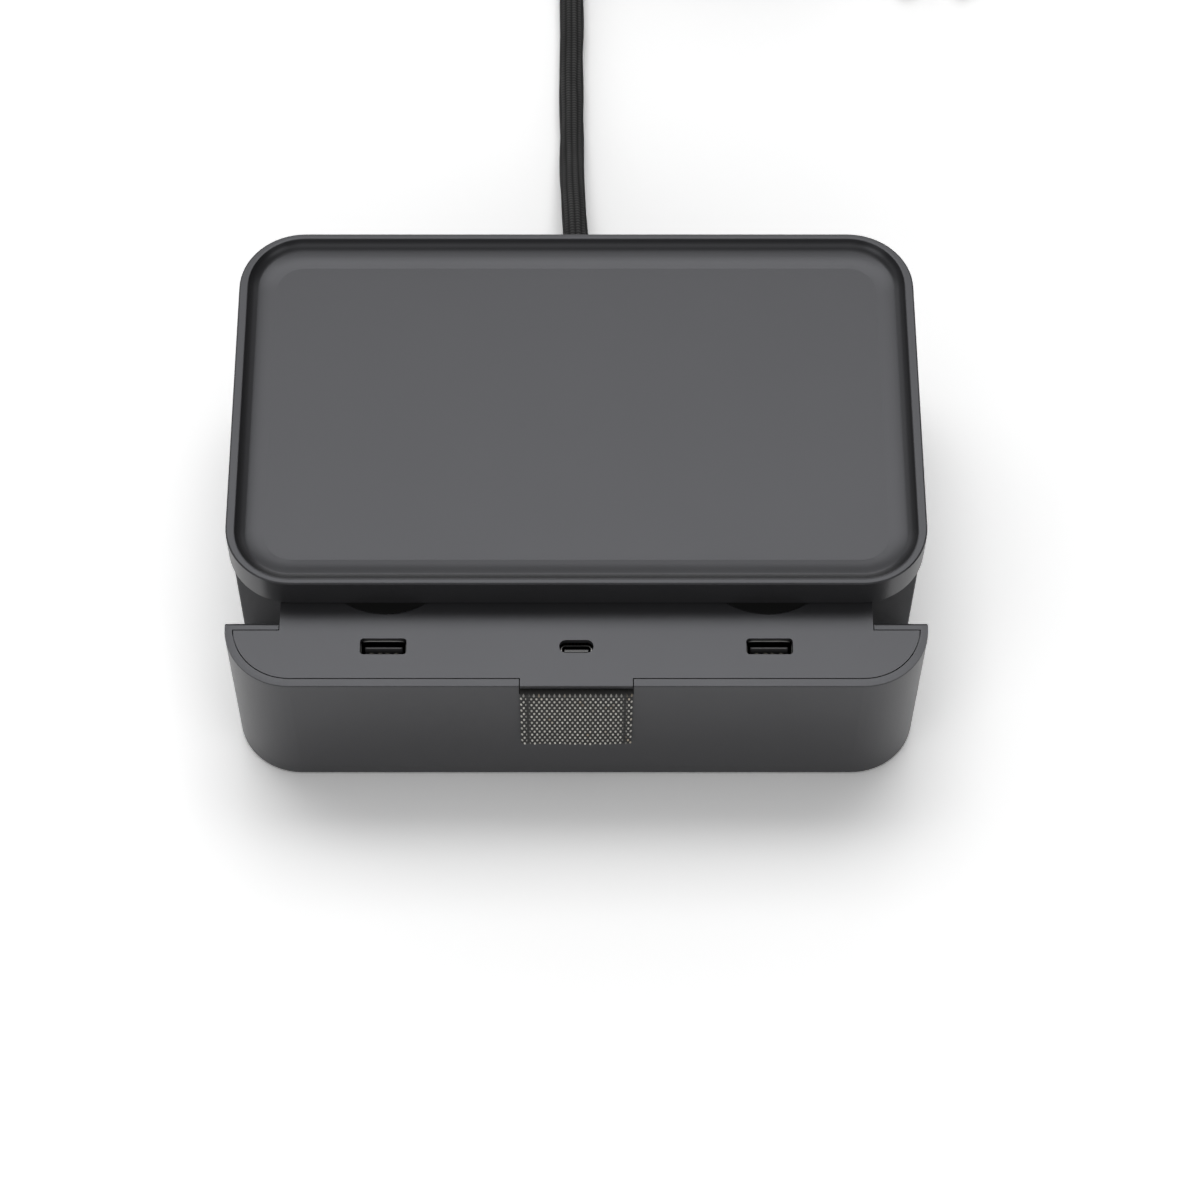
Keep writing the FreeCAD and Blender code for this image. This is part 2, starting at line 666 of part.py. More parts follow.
def swept(name, route, section):
    """Make a sub-part by carrying a closed section along a route of runs and arcs."""
    path, radii = path_with_arcs(route)
    made = doc.addObject("Part::Feature", name)
    made.Shape = path.makePipeShell([section], True, False)
    made.Placement = Placement()
    area = Part.Face(section).Area
    ratio = made.Shape.Volume / (area * path.Length)
    print(f"{name}: length {path.Length:.1f}, radii {radii}, volume over section times length {ratio:.4f}")
    return keep(made)


def make_tray():
    """Tray with its recess, the screw posts under it and the plate that closes it."""
    tray = body("top_tray")
    slab = pad(tray, "slab", tray_under, height, rectangle(-side, side, -back, back, corner, corner))
    fillet(tray, "rim_edge", slab, edge_round, outer_edge_at(slab, height))
    inner = corner - rim_side
    recess = pocket(tray, "recess", height, recess_floor,
                    rectangle(rim_side - side, side - rim_side, rim_end - back, back - rim_end, inner, inner))
    lean(recess, recess_slope, recess_depth)
    foot = fillet(tray, "recess_foot", recess, recess_round, lambda edge: level_at(edge, recess_floor))
    fillet(tray, "rim_inside", foot, rim_round, inner_edge_at(foot, height))
    inner = corner - tray_wall
    pocket_up(tray, "cavity", tray_under, tray_ceiling,
              rectangle(tray_wall - side, side - tray_wall, tray_wall - back, back - tray_wall, inner, inner))
    pad(tray, "case_bosses", case_post_top, tray_ceiling, *discs(CASE_POSTS, post_radius))
    pad(tray, "plate_bosses", plate_top, tray_ceiling, *discs(PLATE_SCREWS, small_boss))
    pocket_up(tray, "case_pilots", case_post_top, case_post_top + screw_length - post_web + spare,
              *discs(CASE_POSTS, screw_bore))
    pocket_up(tray, "plate_pilots", plate_top, tray_ceiling, *discs(PLATE_SCREWS, small_bore))

    plate = body("tray_plate")
    inset = tray_wall + fit_gap
    inner = corner - inset
    pad(plate, "sheet", tray_under, plate_top,
        rectangle(inset - side, side - inset, inset - back, back - inset, inner, inner))
    pocket(plate, "boss_holes", plate_top, tray_under, *discs(CASE_POSTS, post_radius + fit_gap))
    pocket(plate, "screw_holes", plate_top, tray_under, *discs(PLATE_SCREWS, small_bore))
    pocket_up(plate, "head_seats", tray_under, tray_under + small_tall, *discs(PLATE_SCREWS, head_bore))
    seats = [(x, y, tray_under + small_tall) for x, y in PLATE_SCREWS]
    screws("plate_screws", UPWARD, seats, small_radius, tray_ceiling - plate_top, small_head, small_tall)


def make_charger():
    """Coil, shield and board that lie on the tray's plate."""
    half = shield_side / 2
    shield_top = plate_top + shield_thick
    keep(block("ferrite_shield", (-half, half), (-half, half), (plate_top, shield_top)))
    winding = rod("coil_winding", "+z", (0, 0, shield_top), coil_radius, coil_thick)
    bore = rod("coil_middle", "+z", (0, 0, shield_top), coil_bore, coil_thick)
    keep(cut("charging_coil", winding, bore))
    left = half + charger_gap
    right = left + charger_long
    board_top = plate_top + charger_thick
    keep(block("charger_board", (left, right), (charger_deep / -2, charger_deep / 2), (plate_top, board_top)))
    chips = [
        block(f"charger_chip_{number}", (left + chip_side, left + chip_side * 2),
              (chip_side * row, chip_side * (row + 1)), (board_top, board_top + chip_tall))
        for number, row in enumerate((-3, -0.5, 2))
    ]
    group("charger_chips", chips)


def make_housing():
    """Housing shell with the drawer's bay, its posts and rests, and the pad under it."""
    shell = body("base_shell")
    skin = pad(shell, "skin", pad_thick, tray_under, rectangle(-side, side, lip_front, back, None, corner))
    fillet(shell, "pillar_edges", skin, edge_round, lambda edge: upright_at(edge, side, lip_front))
    inner = side - shell_wall
    pocket(shell, "inside", tray_under, floor_top,
           rectangle(-inner, inner, lip_back, back - shell_wall, None, corner - shell_wall))
    mouth = neck_side + mouth_gap
    pocket(shell, "mouth", tray_under, floor_top,
           rectangle(-mouth, mouth, lip_front - spare, lip_back + spare))
    pad(shell, "posts", pad_thick, case_post_top, *discs(CASE_POSTS, post_radius))
    seat = case_post_top - post_web
    pocket_up(shell, "driver_bores", pad_thick, seat, *discs(CASE_POSTS, driver_radius))
    pocket(shell, "screw_holes", case_post_top, seat, *discs(CASE_POSTS, screw_bore))
    pad(shell, "board_bosses", pad_thick, power_top - board_thick, *discs(POWER_SCREWS, small_boss))
    pocket(shell, "board_pilots", power_top - board_thick, floor_top, *discs(POWER_SCREWS, small_bore))
    half = clamp_long / 2
    rest_front = clamp_rear - clamp_deep
    pad(shell, "cord_rest", pad_thick, cord_height, rectangle(-half, half, rest_front, clamp_rear))
    clamp_screws = [(clamp_hole * sign, clamp_rear - clamp_deep / 2) for _, sign in SIDES]
    pocket(shell, "clamp_pilots", cord_height, floor_top, *discs(clamp_screws, screw_bore))
    pocket_back(shell, "cord_groove", rest_front, clamp_rear, (disc, 0, cord_height, cord_radius + cord_gap))
    pocket_back(shell, "gland_hole", back - shell_wall - spare, back + spare,
                (disc, 0, cord_height, gland_neck + cord_gap))
    pocket(shell, "channel_holes", floor_top, pad_thick, *discs(CHANNEL_SCREWS, small_bore))
    pocket_up(shell, "channel_heads", pad_thick, pad_thick + small_tall, *discs(CHANNEL_SCREWS, head_bore))

    grip = body("base_pad")
    inset = side - pad_inset
    pad(grip, "sheet", as_length(0), pad_thick,
        rectangle(-inset, inset, lip_front + pad_inset, back - pad_inset, pad_inset, corner - pad_inset))

    case_seats = [(x, y, seat) for x, y in CASE_POSTS]
    screws("case_screws", UPWARD, case_seats, screw_radius, screw_length, screw_head, head_tall)
    channel_seats = [(x, y, pad_thick + small_tall) for x, y in CHANNEL_SCREWS]
    screws("channel_screws", UPWARD, channel_seats, small_radius, shell_floor - small_tall + channel_sheet,
           small_head, small_tall)


def make_slides():
    """Slide channels and runner strips on the housing floor, and the shoes on the drawer's arms."""
    along = (lip_back + stop_gap, channel_back)
    for name, sign in SIDES:
        edges = sorted((channel_inner * sign, channel_outer * sign), key=float)
        outer = block(f"channel_{name}_outer", edges, along, (floor_top, floor_top + channel_tall))
        open_side = sorted((neck_side * sign, (channel_outer - channel_sheet) * sign), key=float)
        hollow = block(f"channel_{name}_hollow", open_side, (along[0] - spare, along[1] + spare),
                       (floor_top + channel_sheet, floor_top + channel_tall - channel_sheet))
        holes = [
            rod(f"channel_{name}_hole_{number}", "+z", (x, y, floor_top - spare), small_bore,
                channel_sheet + spare * 2)
            for number, (x, y) in enumerate(CHANNEL_SCREWS) if float(x) * sign > 0
        ]
        bent = cut(f"channel_{name}_bent", outer, hollow)
        keep(cut(f"slide_channel_{name}", bent, joined(f"channel_{name}_holes", *holes)))

        middle = (neck_side - runner_inset) * sign
        keep(block(f"runner_{name}", (middle - runner_width / 2, middle + runner_width / 2),
                   (lip_front, lip_front + runner_length), (floor_top, floor_top + runner_thick)))

        reach = sorted((neck_side * sign, (neck_side + shoe_width) * sign), key=float)
        solid = block(f"shoe_{name}_solid", reach, (drawer_front + shoe_front, drawer_front + shoe_back),
                      (shoe_low, shoe_high))
        bore = rod(f"shoe_{name}_bore", "+x" if sign > 0 else "-x",
                   (neck_inside * sign, drawer_front + shoe_middle, shoe_level),
                   small_bore, drawer_wall + shoe_width)
        keep(cut(f"slide_shoe_{name}", solid, bore))


def make_power_supply():
    """Mains board behind the drawer, with what stands on it."""
    half = side - power_side
    under = power_top - board_thick
    plain = block("power_board_plain", (-half, half), (power_front, power_rear), (under, power_top))
    holes = [
        rod(f"power_board_hole_{number}", "+z", (x, y, under - spare), small_bore, board_thick + spare * 2)
        for number, (x, y) in enumerate(POWER_SCREWS)
    ]
    keep(cut("power_board", plain, joined("power_board_holes", *holes)))
    seats = [(x, y, power_top) for x, y in POWER_SCREWS]
    screws("power_board_screws", DOWNWARD, seats, small_radius, board_thick + power_lift,
           small_head, small_tall)

    middle = (power_front + power_rear) / 2
    former_y = (middle - former_deep / 2, middle + former_deep / 2)
    former_left = terminal_long
    keep(block("transformer", (former_left, former_left + former_long), former_y,
               (power_top, power_top + former_tall)))
    bulk_x = -(terminal_long + bulk_radius)
    bulk_place = (bulk_x, power_front + bulk_radius + spare, power_top)
    keep(rod("bulk_capacitor", "+z", bulk_place, bulk_radius, bulk_tall))
    choke = doc.addObject("Part::Torus", "filter_choke")
    bind(choke, "Radius1", choke_radius)
    bind(choke, "Radius2", choke_thick)
    bind(choke, "Placement.Base.x", bulk_x - bulk_radius - (choke_radius + choke_thick) - spare)
    bind(choke, "Placement.Base.y", middle)
    bind(choke, "Placement.Base.z", power_top + choke_thick)
    keep(choke)
    sink_x = former_left + former_long + power_hole
    keep(block("heat_sink", (sink_x, sink_x + sink_long), former_y, (power_top, power_top + sink_tall)))
    keep(rod("fuse", "-x", (bulk_x + bulk_radius, power_rear - fuse_radius - spare, power_top + fuse_radius),
             fuse_radius, fuse_long))
    keep(block("lead_socket", (lead_width / -2 - spare, lead_width / 2 + spare),
               (power_front, power_front + lead_socket), (power_top, power_top + lead_socket)))
    half = terminal_long / 2
    keep(block("terminal_block", (-half, half), (power_rear - terminal_deep, power_rear),
               (power_top, power_top + terminal_tall)))
    group("mains_wires", [
        rod(f"mains_wire_{name}", "+y", (wire_spread * sign, power_rear, cord_height + wire_radius),
            wire_radius, wire_long)
        for name, sign in SIDES
    ])


def make_drawer():
    """Drawer shell: a full-width nose, a narrower neck behind it and two arms that carry the slide shoes."""
    shell = body("drawer_shell", drawer_front)
    pad(shell, "nose", drawer_lift, drawer_top, rectangle(-side, side, 0, nose_depth, corner))
    inner = side - drawer_wall
    rear = nose_depth - drawer_wall
    hem = drawer_wall / 2
    pocket(shell, "nose_inside", drawer_top, drawer_lift + drawer_floor,
           rectangle(-inner, inner, drawer_wall, nose_depth, corner - drawer_wall))
    nose = pad(shell, "nose_back", drawer_lift, drawer_top,
               rectangle(hem - side, side - hem, rear, nose_depth))
    cornered = fillet(shell, "nose_edges", nose, edge_round, lambda edge: upright_at(edge, side, nose_depth))
    fillet(shell, "rim_edge", cornered, drawer_round, outer_edge_at(cornered, drawer_top))
    pad(shell, "neck", neck_low, deck_under, rectangle(-neck_side, neck_side, rear, neck_back))
    arm_top = neck_low + arm_tall
    for name, sign in SIDES:
        across = sorted((neck_inside * sign, neck_side * sign), key=float)
        pad(shell, f"arm_{name}", neck_low, arm_top,
            rectangle(*across, neck_back - drawer_wall, shoe_back + arm_tail))
    pocket(shell, "neck_inside", deck_under, neck_low + drawer_floor,
           rectangle(-neck_inside, neck_inside, rear - spare, neck_back - drawer_wall))
    gate = neck_side + fit_gap
    pocket(shell, "deck_gate", drawer_top, deck_under,
           rectangle(-gate, gate, rear - spare, nose_depth + spare))
    seat = drawer_wall + ledge
    pad(shell, "deck_ledge", deck_under - ledge_tall, deck_under,
        rectangle(hem - side, side - hem, hem, nose_depth - hem / 2, corner - hem),
        rectangle(seat - side, side - seat, seat, nose_depth - hem, corner - seat))
    half = notch_width / 2
    pocket(shell, "notch", drawer_top, deck_under - slot_tall, rectangle(-half, half, -spare, clamp_front))
    floors = {True: drawer_lift, False: neck_low}
    for number, (x, y) in enumerate(DECK_POSTS):
        low = floors[float(y) < float(nose_depth)]
        pad(shell, f"post_{number}", low, deck_post_top, (disc, x, y, post_radius))
        pocket_up(shell, f"driver_bore_{number}", low, deck_post_top - post_web, (disc, x, y, driver_radius))
    pocket(shell, "screw_holes", deck_post_top, deck_post_top - post_web, *discs(DECK_POSTS, screw_bore))
    lead_high = port_board_top - board_thick + fit_gap
    half = lead_width / 2 + fit_gap
    pocket_back(shell, "lead_slot", neck_back - drawer_wall - spare, neck_back + spare,
                rectangle(-half, half, lead_high - lead_thick - fit_gap * 2, lead_high))
    for name, sign in SIDES:
        across = sorted((neck_inside * sign, neck_side * sign), key=float)
        hole = sketch(shell, f"shoe_hole_{name}", "YZ_Plane", across[1])
        feature(shell, "Pocket", f"shoe_hole_{name}", hole, drawer_wall,
                [(disc, shoe_middle, shoe_level, small_bore)])

    seats = [(neck_inside * sign, drawer_front + shoe_middle, shoe_level) for _, sign in SIDES]
    screws("shoe_screws", ["-x", "+x"], seats, small_radius, drawer_wall + shoe_width, small_head, small_tall)


def make_deck():
    """Deck that closes the drawer: port openings, well holes, posts under it and a tongue to the front."""
    deck = body("port_deck", drawer_front)
    wide = side - deck_inset
    rear = nose_depth - deck_inset
    tongue = notch_width / 2 - fit_gap
    curve = corner - deck_inset
    sides = [
        ("y", 0), ("x", tongue), ("y", deck_inset), ("x", wide), ("y", nose_depth), ("x", neck_side),
        ("y", neck_back), ("x", -neck_side), ("y", nose_depth), ("x", -wide), ("y", deck_inset),
        ("x", -tongue),
    ]
    rounds = [None, None, curve, None, None, None, None, None, None, curve, None, None]
    pad(deck, "plate", deck_under, drawer_top, (outline, sides, rounds))
    pocket(deck, "shoulders", drawer_top, deck_under, rectangle(neck_side, side, rear, nose_depth + spare),
           rectangle(-side, -neck_side, rear, nose_depth + spare))
    openings = []
    for long, wide_side, curve, spreads in (
        (usb_a_long, usb_a_wide, usb_a_round, (-port_x, port_x)),
        (usb_c_long, usb_c_wide, usb_c_round, (as_length(0.0),)),
    ):
        for x in spreads:
            openings.append(rectangle(x - long / 2, x + long / 2, port_setback - wide_side / 2,
                                      port_setback + wide_side / 2, curve, curve))
    pocket(deck, "port_openings", drawer_top, deck_under, *openings)
    wells = [(well_x * sign, well_setback) for _, sign in SIDES]
    holes = pocket(deck, "well_holes", drawer_top, deck_under, *discs(wells, well_radius))
    fillet(deck, "well_edges", holes, edge_round,
           lambda edge: level_at(edge, drawer_top) and is_circle(edge, well_radius))
    pad(deck, "posts", deck_post_top, deck_under, *discs(DECK_POSTS, post_radius))
    pocket_up(deck, "pilots", deck_post_top, deck_post_top + screw_length - post_web + spare,
              *discs(DECK_POSTS, screw_bore))
    board_screws = [(board_screw_x * sign, port_setback) for _, sign in SIDES]
    pad(deck, "board_posts", port_board_top, deck_under, *discs(board_screws, small_boss))
    pocket_up(deck, "board_pilots", port_board_top, deck_under, *discs(board_screws, small_bore))
    clamp_screws = [(clamp_screw_x * sign, clamp_middle) for _, sign in SIDES]
    pad(deck, "clamp_bosses", clamp_top, deck_under, *discs(clamp_screws, small_boss))
    pocket_up(deck, "clamp_pilots", clamp_top, deck_under, *discs(clamp_screws, small_bore))

    deck_seats = [(x, drawer_front + y, deck_post_top - post_web) for x, y in DECK_POSTS]
    screws("deck_screws", UPWARD, deck_seats, screw_radius, screw_length, screw_head, head_tall)
    board_seats = [(x, drawer_front + y, port_board_top - board_thick) for x, y in board_screws]
    screws("port_board_screws", UPWARD, board_seats, small_radius, board_thick + socket_tall / 2,
           small_head, small_tall)
    clamp_seats = [(x, drawer_front + y, clamp_top - clamp_thick) for x, y in clamp_screws]
    screws("tab_clamp_screws", UPWARD, clamp_seats, small_radius, deck_under - clamp_top + clamp_thick,
           small_head, small_tall)


def is_circle(edge, radius):
    """Tell whether an edge is an arc of a given radius."""
    return hasattr(edge.Curve, "Radius") and near(edge.Curve.Radius, radius)


def make_wells():
    """Cups bonded under the deck's round holes."""
    for name, sign in SIDES:
        cup = body(f"well_cup_{name}", drawer_front)
        place = (well_x * sign, well_setback)
        floor = drawer_top - well_depth
        pad(cup, "barrel", floor - well_wall, deck_under, (disc, *place, well_radius + well_wall))
        pad(cup, "flange", deck_under - well_wall, deck_under,
            (disc, *place, well_radius + well_wall + well_flange))
        inside = pocket(cup, "inside", deck_under, floor, (disc, *place, well_radius))
        fillet(cup, "foot", inside, well_round, lambda edge: level_at(edge, floor))


def make_socket(name, x, top, long, wide, curve):
    """Steel shell of a socket, standing on the port board under its opening."""
    shell = body(name, drawer_front)
    half_long = long / 2 + socket_sheet
    inner = curve - socket_sheet
    front = port_setback - wide / 2
    rear = port_setback + wide / 2
    pad(shell, "wall", port_board_top, top,
        rectangle(x - half_long, x + half_long, front - socket_sheet, rear + socket_sheet, curve, curve),
        rectangle(x - long / 2, x + long / 2, front, rear, inner, inner))


def make_ports():
    """Sockets with their tongues and contacts, and the board that carries them."""
    tongue_top = socket_top - tongue_a_sink
    contacts = []
    for name, sign in SIDES:
        x = port_x * sign
        make_socket(f"usb_a_shell_{name}", x, socket_top, socket_a_long, socket_a_wide, socket_a_round)
        rear = drawer_front + port_setback + socket_a_wide / 2 - tongue_a_back
        front = rear - tongue_a_thick
        keep(block(f"usb_a_tongue_{name}", (x - tongue_a_long / 2, x + tongue_a_long / 2), (front, rear),
                   (port_board_top, tongue_top)))
        top = tongue_top - contact_sink
        for number, across in enumerate((-contact_outer, -contact_inner, contact_inner, contact_outer)):
            left = x + across - contact_wide / 2
            contacts.append(block(f"contact_{name}_{number}", (left, left + contact_wide),
                                  (front - contact_thick, front), (top - contact_tall, top)))
    group("usb_a_contacts", contacts)
    small_top = socket_top - socket_c_drop
    make_socket("usb_c_shell", as_length(0.0), small_top, socket_c_long, socket_c_wide, socket_c_round)
    middle = drawer_front + port_setback
    keep(block("usb_c_tongue", (tongue_c_long / -2, tongue_c_long / 2),
               (middle - tongue_c_thick / 2, middle + tongue_c_thick / 2),
               (port_board_top, small_top - tongue_c_sink)))

    half = side - port_board_side
    under = port_board_top - board_thick
    front = drawer_front + drawer_wall + port_board_gap
    rear = drawer_front + nose_depth - drawer_wall - port_board_gap
    plain = block("port_board_plain", (-half, half), (front, rear), (under, port_board_top))
    holes = [
        rod(f"port_board_hole_{name}", "+z", (board_screw_x * sign, middle, under - spare),
            small_bore, board_thick + spare * 2)
        for name, sign in SIDES
    ]
    keep(cut("port_board", plain, joined("port_board_holes", *holes)))
    group("converter_coils", [
        block(f"converter_coil_{name}", (converter_x * sign - converter_side / 2,
                                         converter_x * sign + converter_side / 2),
              (middle - converter_side / 2, middle + converter_side / 2),
              (port_board_top, port_board_top + converter_tall))
        for name, sign in SIDES
    ])
    lead_end = drawer_front + neck_back + lead_tail
    half = lead_width / 2
    keep(block("drawer_lead", (-half, half), (middle, lead_end), (under - lead_thick, under)))


def make_pull_tab():
    """Pull tab: cloth that comes out of the slot under the tongue and hangs down the front, and its clamp."""
    tab = body("pull_tab", drawer_front)
    profile = sketch(tab, "strip", "YZ_Plane", tab_width / -2)
    outer = -(tab_clear + tab_thick)
    under = tab_top - tab_thick
    hem = tab_thick * 0.4
    sides = [
        ("y", tab_top - tab_drop), ("x", -tab_clear), ("y", under), ("x", tab_inside), ("y", tab_top),
        ("x", outer),
    ]
    rounds = [hem, None, None, None, tab_bend, hem]
    feature(tab, "Pad", "strip", profile, tab_width, [(outline, sides, rounds)])

    clamp = body("tab_clamp", drawer_front)
    half = clamp_screw_x + small_boss
    pad(clamp, "bar", clamp_top - clamp_thick, clamp_top, rectangle(-half, half, clamp_front, tab_inside))
    clamp_screws = [(clamp_screw_x * sign, clamp_middle) for _, sign in SIDES]
    pocket(clamp, "holes", clamp_top, clamp_top - clamp_thick, *discs(clamp_screws, small_bore))


def make_cord_entry():
    """Gland in the back wall, the cord's end inside it and the clamp that holds it."""
    inside = rod("gland_inside", "+y", (0, gland_inside, cord_height), gland_flange, gland_lip)
    neck = rod("gland_neck", "+y", (0, gland_inside, cord_height), gland_neck, back - gland_inside)
    outside = rod("gland_outside", "+y", (0, back, cord_height), gland_flange, gland_lip)
    taper = cone("gland_taper", "+y", (0, back + gland_lip, cord_height), gland_neck, gland_tip, gland_tail)
    bore = rod("gland_bore", "+y", (0, gland_inside - spare, cord_height), cord_radius + cord_gap,
               gland_end - gland_inside + spare * 2)
    keep(cut("cord_gland", joined("gland_solid", inside, neck, outside, taper), bore))
    keep(rod("cord_end", "+y", (0, cord_inner_end, cord_height), cord_radius, gland_end - cord_inner_end))

    clamp = body("cord_clamp")
    half = clamp_long / 2
    front = clamp_rear - clamp_deep
    clamp_screws = [(clamp_hole * sign, clamp_rear - clamp_deep / 2) for _, sign in SIDES]
    low = cord_height + fit_gap
    high = cord_height + clamp_tall
    pad(clamp, "bar", low, high, rectangle(-half, half, front, clamp_rear))
    pocket(clamp, "holes", high, low, *discs(clamp_screws, screw_bore))
    pocket_back(clamp, "groove", front, clamp_rear, (disc, 0, cord_height, cord_radius + cord_gap))
    seats = [(x, y, high) for x, y in clamp_screws]
    screws("cord_clamp_screws", DOWNWARD, seats, screw_radius, screw_length, screw_head, head_tall)


def make_cord():
    """Free cord: the lead to the coil, the coil of the stored length, its tie, and the tail to the plug."""
    for name, route in (("power_cord", LEAD_ROUTE), ("cord_tail", TAIL_ROUTE)):
        section = Part.Wire([Part.Circle(route[0], route[1] - route[0], float(cord_radius)).toShape()])
        swept(name, route, section)

    place = (coil_x, coil_y, tie_thick)
    outside = rod("cord_coil_outside", "+z", place, turn_outer + cord_radius, coil_layers)
    middle = rod("cord_coil_middle", "+z", place, turn_inner - cord_radius, coil_layers)
    keep(cut("cord_coil", outside, middle))

    tie = body("cord_tie")
    bind(tie, "Placement.Base.x", coil_x)
    bind(tie, "Placement.Base.y", coil_y)
    tie.setExpression("Placement.Rotation.Angle", f"{tie_angle.formula} * 1 deg")
    profile = sketch(tie, "band", "XZ_Plane", tie_width / -2)
    sag = tie_width * tie_width.number / 8 / (float(turn_inner) - float(cord_radius))
    near_side = turn_inner - cord_radius - sag - fit_gap
    far_side = turn_outer + cord_radius + fit_gap
    high = tie_thick + coil_layers + fit_gap
    curve = tie_thick / 2
    feature(tie, "Pad", "band", profile, tie_width, [
        rectangle(near_side - tie_thick, far_side + tie_thick, 0, high + tie_thick, curve, curve),
        rectangle(near_side, far_side, tie_thick, high),
    ])


def make_plug():
    """Flat two-pin plug at the end of the cord, lying on the table."""
    end = TAIL_ROUTE[-1]
    middle = plug_tall / 2
    shell = doc.addObject("Part::Feature", "plug_shell")
    half, flat, high = float(plug_width) / 2, float(plug_face) / 2, float(plug_tall)
    rear = end.y - float(plug_neck_long)
    corners = [
        Vector(end.x + x, rear, z)
        for x, z in ((-half, high / 2), (-flat, 0), (flat, 0), (half, high / 2), (flat, high), (-flat, high))
    ]
    section = Part.Face(Part.makePolygon(corners + corners[:1]))
    shell.Shape = section.extrude(Vector(0, -float(plug_long), 0))
    shell.Placement = Placement()
    neck = cone("plug_neck", "-y", (end.x, end.y, middle), plug_neck, plug_neck, plug_neck_long)
    keep(joined("plug_body", shell, neck))
    for name, sign in SIDES:
        place = (pin_spread * sign + end.x, rear - float(plug_long), middle)
        keep(rod(f"plug_pin_{name}", "-y", place, pin_radius, pin_length))



def make_flex_lead():
    """Flexible lead with slack for the drawer's travel, from the power board to the drawer's back wall."""
    height_out = port_board_top - board_thick - lead_thick / 2
    start = Vector(0, float(drawer_front + neck_back + lead_tail), float(height_out))
    end = Vector(0, float(power_front), float(power_top + lead_socket / 2))
    run, reach, turn = float(lead_run), float(lead_reach), float(lead_turn)
    route = [
        start, start + Vector(0, run, 0), start + Vector(0, reach - turn / 4, -turn / 2),
        start + Vector(0, reach, -turn * 1.5), start + Vector(0, reach - turn, -turn * 2),
        Vector(0, start.y + reach - turn, end.z + turn / 3),
        end - Vector(0, run, 0), end,
    ]
    half, thin = float(lead_width) / 2, float(lead_thick) / 2
    around = ((-half, -thin), (half, -thin), (half, thin), (-half, thin))
    corners = [start + Vector(x, 0, z) for x, z in around]
    swept("flex_lead", route, Part.makePolygon(corners + corners[:1]))


def check_and_write():
    """Refuse a model with a failed object or a broken shape, then write one file for each piece."""
    doc.recompute()
    failed = [thing.Label for thing in doc.Objects if {"Invalid", "Error"} & set(thing.State)]
    broken = [piece.Label for piece in pieces if piece.Shape.isNull() or not piece.Shape.isValid()]
    if failed or broken:
        raise RuntimeError(f"failed objects {failed}, broken shapes {broken}")
    os.makedirs("parts", exist_ok=True)
    for piece in pieces:
        piece.Shape.exportStep(f"parts/{piece.Label}.step")
        print(f"{piece.Label}: {len(piece.Shape.Solids)} solids, {piece.Shape.Volume / 1000:.2f} cm3")


make_tray()
make_charger()
make_housing()
make_slides()
make_power_supply()
make_drawer()
make_deck()
make_wells()
make_ports()
make_pull_tab()
make_cord_entry()
make_cord()
make_plug()
make_flex_lead()
check_and_write()
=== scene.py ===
"""Looks of a desktop charging box: camera, cord, woven tab, finishes, floor and light."""

import math

import bpy
import numpy as np
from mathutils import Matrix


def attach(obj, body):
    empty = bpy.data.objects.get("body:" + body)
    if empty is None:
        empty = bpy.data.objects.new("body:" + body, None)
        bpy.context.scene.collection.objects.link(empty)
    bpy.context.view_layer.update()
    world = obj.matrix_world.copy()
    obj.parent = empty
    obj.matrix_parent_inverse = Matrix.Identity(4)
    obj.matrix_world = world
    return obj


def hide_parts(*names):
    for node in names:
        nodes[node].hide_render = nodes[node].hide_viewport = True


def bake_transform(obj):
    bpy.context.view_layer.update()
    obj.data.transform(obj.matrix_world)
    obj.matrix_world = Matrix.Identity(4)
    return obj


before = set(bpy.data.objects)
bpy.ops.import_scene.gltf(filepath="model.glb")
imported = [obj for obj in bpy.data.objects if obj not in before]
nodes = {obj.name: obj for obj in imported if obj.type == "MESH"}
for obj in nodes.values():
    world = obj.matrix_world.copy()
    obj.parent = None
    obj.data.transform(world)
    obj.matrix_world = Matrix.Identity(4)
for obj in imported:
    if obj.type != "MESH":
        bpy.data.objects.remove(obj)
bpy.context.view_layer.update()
scene = bpy.context.scene

MM = 0.001
TURN = 2 * math.pi


# Camera

# Focal length and sensor in millimetres, sideways shift as a share of the picture, place in metres, and tilt
# in degrees from straight down.
LENS, SENSOR, SHIFT = 100.53, 36.0, 0.0197
EYE, TILT = (0.0, -0.520, 0.89364), 28.85


def set_camera():
    """Camera in front of the box, looking steeply down along +Y."""
    lens = bpy.data.cameras.new("camera")
    lens.lens, lens.sensor_width, lens.shift_x = LENS, SENSOR, SHIFT
    lens.clip_end = 20.0
    camera = bpy.data.objects.new("camera", lens)
    camera.location = EYE
    camera.rotation_euler = (math.radians(TILT), 0.0, 0.0)
    scene.collection.objects.link(camera)
    scene.camera = camera


# Meshes

def add_piece(name, points, faces, uv, material, ends=()):
    """Object at the origin from points in metres, faces as corner numbers and one UV pair per corner; the
    ends are flat faces that close it, given as corner numbers."""
    mesh = bpy.data.meshes.new(name)
    mesh.from_pydata(points.tolist(), [], faces.tolist() + [end.tolist() for end in ends])
    layer = mesh.uv_layers.new(name="UVMap")
    corners = np.zeros((len(mesh.loops), 2), dtype=np.float32)
    corners[:faces.size] = uv.reshape(-1, 2)
    layer.data.foreach_set("uv", corners.ravel())
    smooth = np.arange(len(mesh.polygons)) < len(faces)
    mesh.polygons.foreach_set("use_smooth", smooth)
    mesh.materials.append(material)
    mesh.update()
    piece = bpy.data.objects.new(name, mesh)
    scene.collection.objects.link(piece)
    return piece


